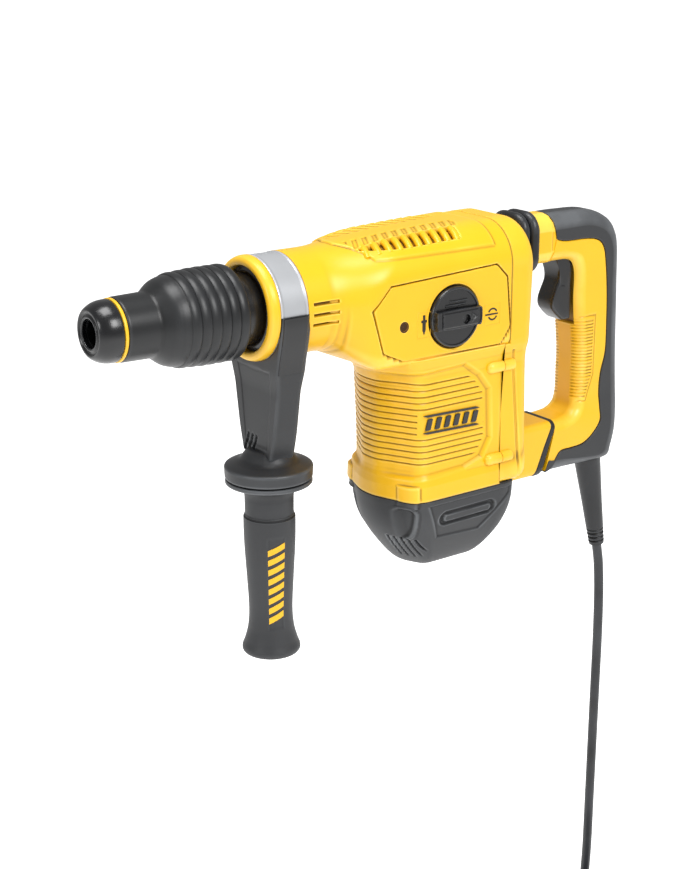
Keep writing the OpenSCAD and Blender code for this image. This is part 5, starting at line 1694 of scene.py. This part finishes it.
    def _trigger(self) -> None:
        """Trigger: its side outline from face to face with round rims."""
        outline = even(rounded([(267.4, 0.5), (270.6, -8.0), (270.6, -15.0), (266.6, -24.0),
            (264.0, -31.0), (264.4, -36.5), (269.5, -42.0), (276.0, -47.4), (283.6, -47.4),
            (283.6, 4.0), (276.0, 8.6), (267.0, 6.0)], [3, 4, 4, 4, 3, 3, 3, 3, 1, 3, 4, 3], 7,
            True), 150, True)
        middle = outline.mean(0)
        away = outline - middle
        size = np.linalg.norm(away, axis=1, keepdims=True)
        w = np.linspace(0, np.pi / 2, 8)
        rim = 2.6
        core, inset = rim + size.min() * 0.8, rim * (1 - np.sin(w))
        edge = self.trigger_half - rim * (1 - np.cos(w))
        shrink = np.r_[core, inset, inset[::-1], core]
        level = np.r_[-self.trigger_half, -edge, edge[::-1], self.trigger_half]
        ring = middle + away[None] * (1 - shrink[:, None, None] / size[None])
        grid = joined(ring[..., 0], level[:, None], ring[..., 1])
        self.form("trigger_moulding", grid, BLACK_GLOSS, "trigger", "black_plastic", "trigger")

    def _arm(self, name: str, reach: tuple, body: str) -> None:
        """Yellow arm with chamfered corners on one side of the bellows."""
        x = np.linspace(*reach, 40)
        close = 0.5 * (smooth(reach[0] + 0.8, reach[0], x) + smooth(reach[1] - 0.8, reach[1], x))
        close = close + 0.9 * smooth(255.4, 256.2, x)
        share, offset = loop_shape([11, 11, 8, 8], [16, 20, 16, 20], 4)
        y = share[None, :, 0] * (15.9 - close[:, None]) + offset[None, :, 0]
        z = 19.0 + share[None, :, 1] * (18.6 - close[:, None]) + offset[None, :, 1]
        grid = joined(x[:, None], y, z)
        self.form(name, grid, YELLOW, body, "yellow_plastic")

    def _bellows(self) -> None:
        """Two-ribbed bellows between the housing and the handle's upper arm."""
        x0, x1 = self.bellows
        t = np.linspace(0, 1, 90)
        swell = 3.4 * np.sqrt(np.clip(1 - ((np.abs(t - 0.5) - 0.24) / 0.215) ** 2, 0, 1))
        share, offset = loop_shape([14, 14, 11, 11], [14, 18, 14, 18], 10)
        y = share[None, :, 0] * (16.4 + swell[:, None]) + offset[None, :, 0]
        z = 18.2 + share[None, :, 1] * (19.4 + swell[:, None]) + offset[None, :, 1]
        x = (x0 - 0.6 + t * (x1 - x0 + 1.2))[:, None]
        piece = skin("upper_bellows_rubber", self.datum, joined(x, y, z))
        self._bend(piece, "upper_bellows", (x0, 0, 17), (x1, 0, 17))

    def _gasket(self) -> None:
        """Gasket filling the slanted joint between the lower arm and the handle."""
        t = np.linspace(0, 1, 16)[:, None]
        share, offset = loop_shape([6, 6, 7, 7], [20, 40, 20, 40], 9)
        sink = 1.1 - 1.5 * window(0.25, 0.75, 0.2, t)
        y = share[None, :, 0] * (18.6 - sink) + offset[None, :, 0]
        z = -144.0 + share[None, :, 1] * (21.2 - sink) + offset[None, :, 1]
        before = np.interp(z, [-165.0, -143.0, -128.0, -123.0], [241.4, 250.4, 257.4, 257.4])
        after = np.interp(z, [-165.0, -143.0, -128.0, -123.0], [251.4, 258.4, 264.4, 264.4])
        x = before + (after - before) * t
        piece = skin("joint_gasket_rubber", self.datum, joined(x, y, z))
        self._bend(piece, "joint_gasket", (250, 0, -144), (258, 0, -144))

    def _bend(self, piece: bpy.types.Object, node: str, start: Sequence, stop: Sequence) -> None:
        """Dresses a rubber piece between the housing and the handle, bakes its placement into its
        mesh and lets it stand for its node.
        """
        self.add(piece, BLACK_RUBBER, None, "black_rubber", node)
        begin, end = self.datum.place(start), self.datum.place(stop)
        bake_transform(piece)


# --- Mains lead ---


@dataclass
class MainsLead(Assembly):
    """Bend relief, lead, coil on the ground, its tie and the plug.

    The route holds the lead's chosen points in metres, in the hammer frame.
    """

    length: float = 4.0
    diameter: float = 0.008
    route: tuple = ((0.3324, 0.0, -0.2446), (0.334, 0.0, -0.253), (0.336, 0.0, -0.265),
        (0.338, 0.0, -0.290), (0.339, 0.0, -0.330), (0.339, 0.0, -0.380), (0.339, 0.0, -0.430),
        (0.339, 0.0, -0.480), (0.339, 0.0, -0.530), (0.338, 0.0, -0.560), (0.336, -0.002, -0.578),
        (0.331, -0.005, -0.590), (0.322, -0.009, -0.595))
    tail: tuple = ((0.268, -0.012, -0.582), (0.254, -0.008, -0.582), (0.240, -0.008, -0.582),
        (0.228, -0.014, -0.582), (0.221, -0.024, -0.582), (0.220, -0.036, -0.582))
    coil_centre: tuple = (305.0, -64.0)
    slot_radii: tuple = (53.1, 45.0, 36.9, 28.8)
    layers: tuple = (-595.95, -587.85, -579.75, -571.65)
    start_turn: float = 82.0
    turns: float = 14.036

    def build(self) -> None:
        """Builds the relief, the plug with its pins, the lead and the tie."""
        relief = self._relief()
        plug, pins = self._plug()
        tie = self._tie()
        lead, path = self._lead()

    def _relief(self) -> bpy.types.Object:
        """Bend relief: a smooth tapered sleeve with a collar and three shallow rings."""
        top, end = np.array([315.2, 0.0, -158.0]), np.array([332.4, 0.0, -244.6])
        t = np.linspace(0, 1, 220)
        radius = np.interp(t, [0, 0.10, 0.16, 0.55, 0.97, 1.0], [11.0, 11.0, 10.4, 8.3, 6.5, 6.1])
        comb = (0.5 + 0.5 * np.cos(2 * np.pi * t * 24.0)) ** 2 * window(0.84, 0.96, 0.01, t)
        path = top + t[:, None] * (end - top)
        grid = tube(path, radius - 0.9 * comb, 56)
        # Painted shade in the grooves between the rings.
        mark = np.repeat(0.6 * comb[:, None], 56, 1)
        return self.form("bend_relief_sleeve", grid, BLACK_RUBBER, "rear_handle", "black_rubber",
            "bend_relief", crease=mark)

    def _coil(self) -> Array:
        """Centreline of the coil: each layer winds across the slots, then climbs.

        A change of slot takes 0.16 of a turn. Slots change once a turn. A climb comes 0.83
        of a turn after a layer's last change, and the next layer's first change 0.83 after.
        """
        turn = np.linspace(0, self.turns, int(self.turns * 72))
        ways = [list(self.slot_radii), list(self.slot_radii[::-1])] * 2
        radius = np.full(turn.shape, ways[0][0])
        level = np.full(turn.shape, self.layers[0])
        at = 0.92
        for layer, way in enumerate(ways):
            for before, after in zip(way, way[1:]):
                radius += (after - before) * smooth(at - 0.08, at + 0.08, turn)
                at += 1.0
            at -= 0.17
            if layer + 1 < len(ways):
                rise = self.layers[layer + 1] - self.layers[layer]
                level += rise * smooth(at - 0.08, at + 0.08, turn)
            at += 0.83
        w = np.radians(self.start_turn) + 2 * np.pi * turn
        return np.stack([self.coil_centre[0] + radius * np.cos(w),
            self.coil_centre[1] + radius * np.sin(w), level], 1)

    def _lead(self) -> tuple[bpy.types.Object, Array]:
        """The lead from the relief through the coil to the plug, as a round tube."""
        first, last = np.array(self.route) * 1000, np.array(self.tail) * 1000
        coil = self._coil()
        down = flowing(np.vstack([first, coil[2:6]]), 10)[:-30]
        away = flowing(np.vstack([coil[-6:], [(285.0, -10.4, -572.4)], last]), 12)[48:]
        line = np.vstack([down, coil[3:-3], away])
        keep = np.r_[True, np.linalg.norm(np.diff(line, axis=0), axis=1) > 0.4]
        line = line[keep]
        lean = smooth(-540.0, -592.0, line[:, 2:3])
        guide = np.hstack([np.zeros_like(lean), 1 - lean, lean])
        guide[np.arange(len(line)) > len(down)] = (0, 0, 1)
        grid = tube(line, self.diameter * 500, 14, guide)
        piece = self.form("mains_lead", grid, BLACK_RUBBER, "rear_handle", "black_rubber",
            "mains_cord", "cord_coil")
        return piece, self.datum.place(line)

    def _tie(self) -> bpy.types.Object:
        """Flat strap round the coil's bundle, where it is furthest to the rear."""
        share, offset = loop_shape([6, 6, 6, 6], [8, 8, 8, 8], 8)
        middle = (self.coil_centre[0] + sum(self.slot_radii) / 4, sum(self.layers) / 4)
        x = middle[0] + share[:, 0] * 17.2 + offset[:, 0]
        z = middle[1] + share[:, 1] * 17.2 + offset[:, 1]
        path = joined(x, self.coil_centre[1], z)
        outward = path - np.array([middle[0], self.coil_centre[1], middle[1]])
        outward /= np.linalg.norm(outward, axis=1, keepdims=True)
        cross = np.array([(4.6, 0.7), (-4.6, 0.7), (-5.0, 0.0), (-4.6, -0.7), (4.6, -0.7),
            (5.0, 0.0)])
        grid = path[:, None] + outward[:, None] * cross[None, :,
            1:] + np.array([0, 1, 0]) * cross[None, :, :1]
        return self.form("coil_tie_strap", grid, NYLON_GREY, "rear_handle", "black_plastic",
            "cord_tie", wrap_rows=True)

    def _plug(self) -> tuple[bpy.types.Object, bpy.types.Object]:
        """Round moulded plug with a tapered tail, and its two pins."""
        x, y, z = 1000 * np.array(self.tail[-1])
        profile = rounded([(1.0, 0.8), (1.0, 6.0), (-8.0, 7.5), (-16.0, 14.0), (-20.0, 17.6),
            (-38.0, 18.0), (-41.6, 17.4), (-42.0, 15.0), (-42.0, 0.8)],
            [0.1, 1, 4, 3, 3, 2, 1, 1, 0.1], 6)
        body = self.form("plug_moulding", turned(even(profile, 120), 96, (x, y, z), "y"),
            BLACK_RUBBER, "rear_handle", "black_plastic", "plug_body")
        pin = rounded([(-41.0, 0.3), (-41.0, 2.4), (-59.5, 2.4), (-61.0, 1.2), (-61.0, 0.2)],
            [0.1, 0.1, 1.0, 0.5, 0.1], 5)
        both = np.stack([turned(even(pin, 40), 24, (x + side * 9.5, y, z), "y") for side
            in (-1, 1)])
        pins = self.many("plug_contact_pins", both, BRASS, "rear_handle", "brass_pins",
            "plug_pins")
        return body, pins


# --- Parts inside ---


@dataclass
class Mechanism(Assembly):
    """The metal and plastic parts inside, dressed as they are."""

    finishes: dict = field(default_factory=lambda: {"steel": STEEL, "cast_aluminium": CAST,
        "copper": COPPER, "carbon": DARK_STEEL, "black_rubber": BLACK_RUBBER,
        "black_plastic": BLACK_GLOSS, "grey_plastic": NYLON_GREY, "grey_softgrip": SOFT_GREY,
        "yellow_plastic": YELLOW, "band_steel": BAND_METAL, "brass_pins": BRASS})

    def build(self) -> None:
        """Dresses every CAD node that still shows by its slot in the record."""
        slots = {part["node"]: part["material_slot"] for part in frame["record"]["subparts"]}
        for name, node in frame["nodes"].items():
            if node.hide_render:
                continue
            finish = DARK_STEEL if name == "tool_holder" else self.finishes[slots[name]]
            self.shop.dress(node, finish)


# --- Studio ---


@dataclass
class Studio:
    """Pale floor, soft lamps and the camera."""

    camera_at: tuple = (-0.88653, -0.90411, 0.32138)
    camera_turn: tuple = (72.17, 0.0, -36.0)
    lens: float = 68.19
    floor_z: float = -0.534
    lamps: tuple = (("key_lamp", (0.2, -2.1, 1.7), 1.1, 46.0),
        ("top_lamp", (-0.3, 0.0, 2.4), 1.3, 46.0), ("left_lamp", (-2.2, -0.3, 0.9), 0.7, 12.0))

    def build(self) -> None:
        """Sets the camera first, then the floor, the sky and the lamps."""
        self.camera()
        self.floor()
        self.sky()
        bpy.context.scene.view_settings.view_transform = "Standard"
        for lamp in self.lamps:
            self.lamp(*lamp)

    def camera(self) -> None:
        """Camera in front of the selector side, a little above."""
        data = bpy.data.cameras.new("studio_camera")
        data.lens, data.sensor_width, data.sensor_fit = self.lens, 36.0, "AUTO"
        data.clip_end = 100.0
        data.dof.use_dof = False
        camera = bpy.data.objects.new("studio_camera", data)
        camera.location = self.camera_at
        camera.rotation_euler = [math.radians(angle) for angle in self.camera_turn]
        bpy.context.scene.collection.objects.link(camera)
        bpy.context.scene.camera = camera

    def floor(self) -> None:
        """Large pale floor with a faint slow change of shade, lit through from below."""
        mesh = bpy.data.meshes.new("studio_floor")
        reach = 40.0
        mesh.from_pydata([(-reach, -reach, self.floor_z), (reach, -reach, self.floor_z),
            (reach, reach, self.floor_z), (-reach, reach, self.floor_z)], [], [(0, 1, 2, 3)])
        floor = bpy.data.objects.new("studio_floor", mesh)
        bpy.context.scene.collection.objects.link(floor)
        material = bpy.data.materials.new("studio_paper")
        material.use_nodes = True
        tree = material.node_tree
        where = placed(tree, "ShaderNodeTexCoord", {})
        noise = placed(tree, "ShaderNodeTexNoise",
            {"Vector": where.outputs["Object"], "Scale": 0.6})
        ramp = placed(tree, "ShaderNodeValToRGB", {0: noise.outputs[0]})
        ramp.color_ramp.elements[0].color = (0.90, 0.90, 0.90, 1)
        ramp.color_ramp.elements[1].color = (0.93, 0.93, 0.93, 1)
        set_inputs(tree, tree.nodes["Principled BSDF"],
            {"Roughness": 0.9, "Specular IOR Level": 0.0, "Base Color": ramp.outputs[0],
            "Emission Color": (1, 1, 1, 1), "Emission Strength": self.seen(tree, 0.4, 0.75)})
        mesh.materials.append(material)

    def sky(self) -> None:
        """Even surroundings, white to the camera and dimmer as a light."""
        world = bpy.data.worlds.new("studio_sky")
        world.use_nodes = True
        tree = world.node_tree
        set_inputs(tree, tree.nodes["Background"],
            {0: (1.0, 1.0, 1.0, 1.0), 1: self.seen(tree, 0.4, 1.0)})
        bpy.context.scene.world = world

    @staticmethod
    def seen(tree: bpy.types.NodeTree, light: float, view: float) -> bpy.types.NodeSocket:
        """A strength that is one number as light and another where the camera sees it.

        Args:
            tree: Node tree to add the nodes to.
            light: Strength as a light.
            view: Strength in the camera's view.
        Returns:
            The socket that carries the strength.
        """
        path = placed(tree, "ShaderNodeLightPath", {})
        spread = placed(tree, "ShaderNodeMapRange",
            {"Value": path.outputs["Is Camera Ray"], "To Min": light, "To Max": view})
        return spread.outputs["Result"]

    def lamp(self, name: str, at: Sequence[float], size: float, power: float) -> None:
        """A square soft lamp that faces the hammer.

        Args:
            name: Name of the lamp.
            at: Its place in metres, from the middle of the hammer.
            size: Side of the square in metres.
            power: Its power in watts.
        """
        data = bpy.data.lights.new(name, "AREA")
        data.shape, data.size, data.energy = "SQUARE", size, power
        lamp = bpy.data.objects.new(name, data)
        middle = np.array([-0.2, 0.0, 0.0])
        place = middle + np.array(at)
        lamp.location = tuple(place)
        away = np.array(at, float)
        lamp.rotation_euler = (math.acos(away[2] / np.linalg.norm(away)), 0.0,
            math.atan2(away[1], away[0]) + math.pi / 2)
        bpy.context.scene.collection.objects.link(lamp)


def main() -> None:
    """Builds the studio, the lead and then every sub-assembly."""
    logging.basicConfig(level=logging.INFO, format="%(name)s: %(message)s")
    datum = Datum.from_frame()
    shop = FinishShop()
    Studio().build()
    for kind in (MainsLead, Nose, GearCover, Motor, RearHousing, SideHandle, RearHandle,
            Mechanism):
        kind(datum, shop).build()


if __name__ == "__main__":
    main()
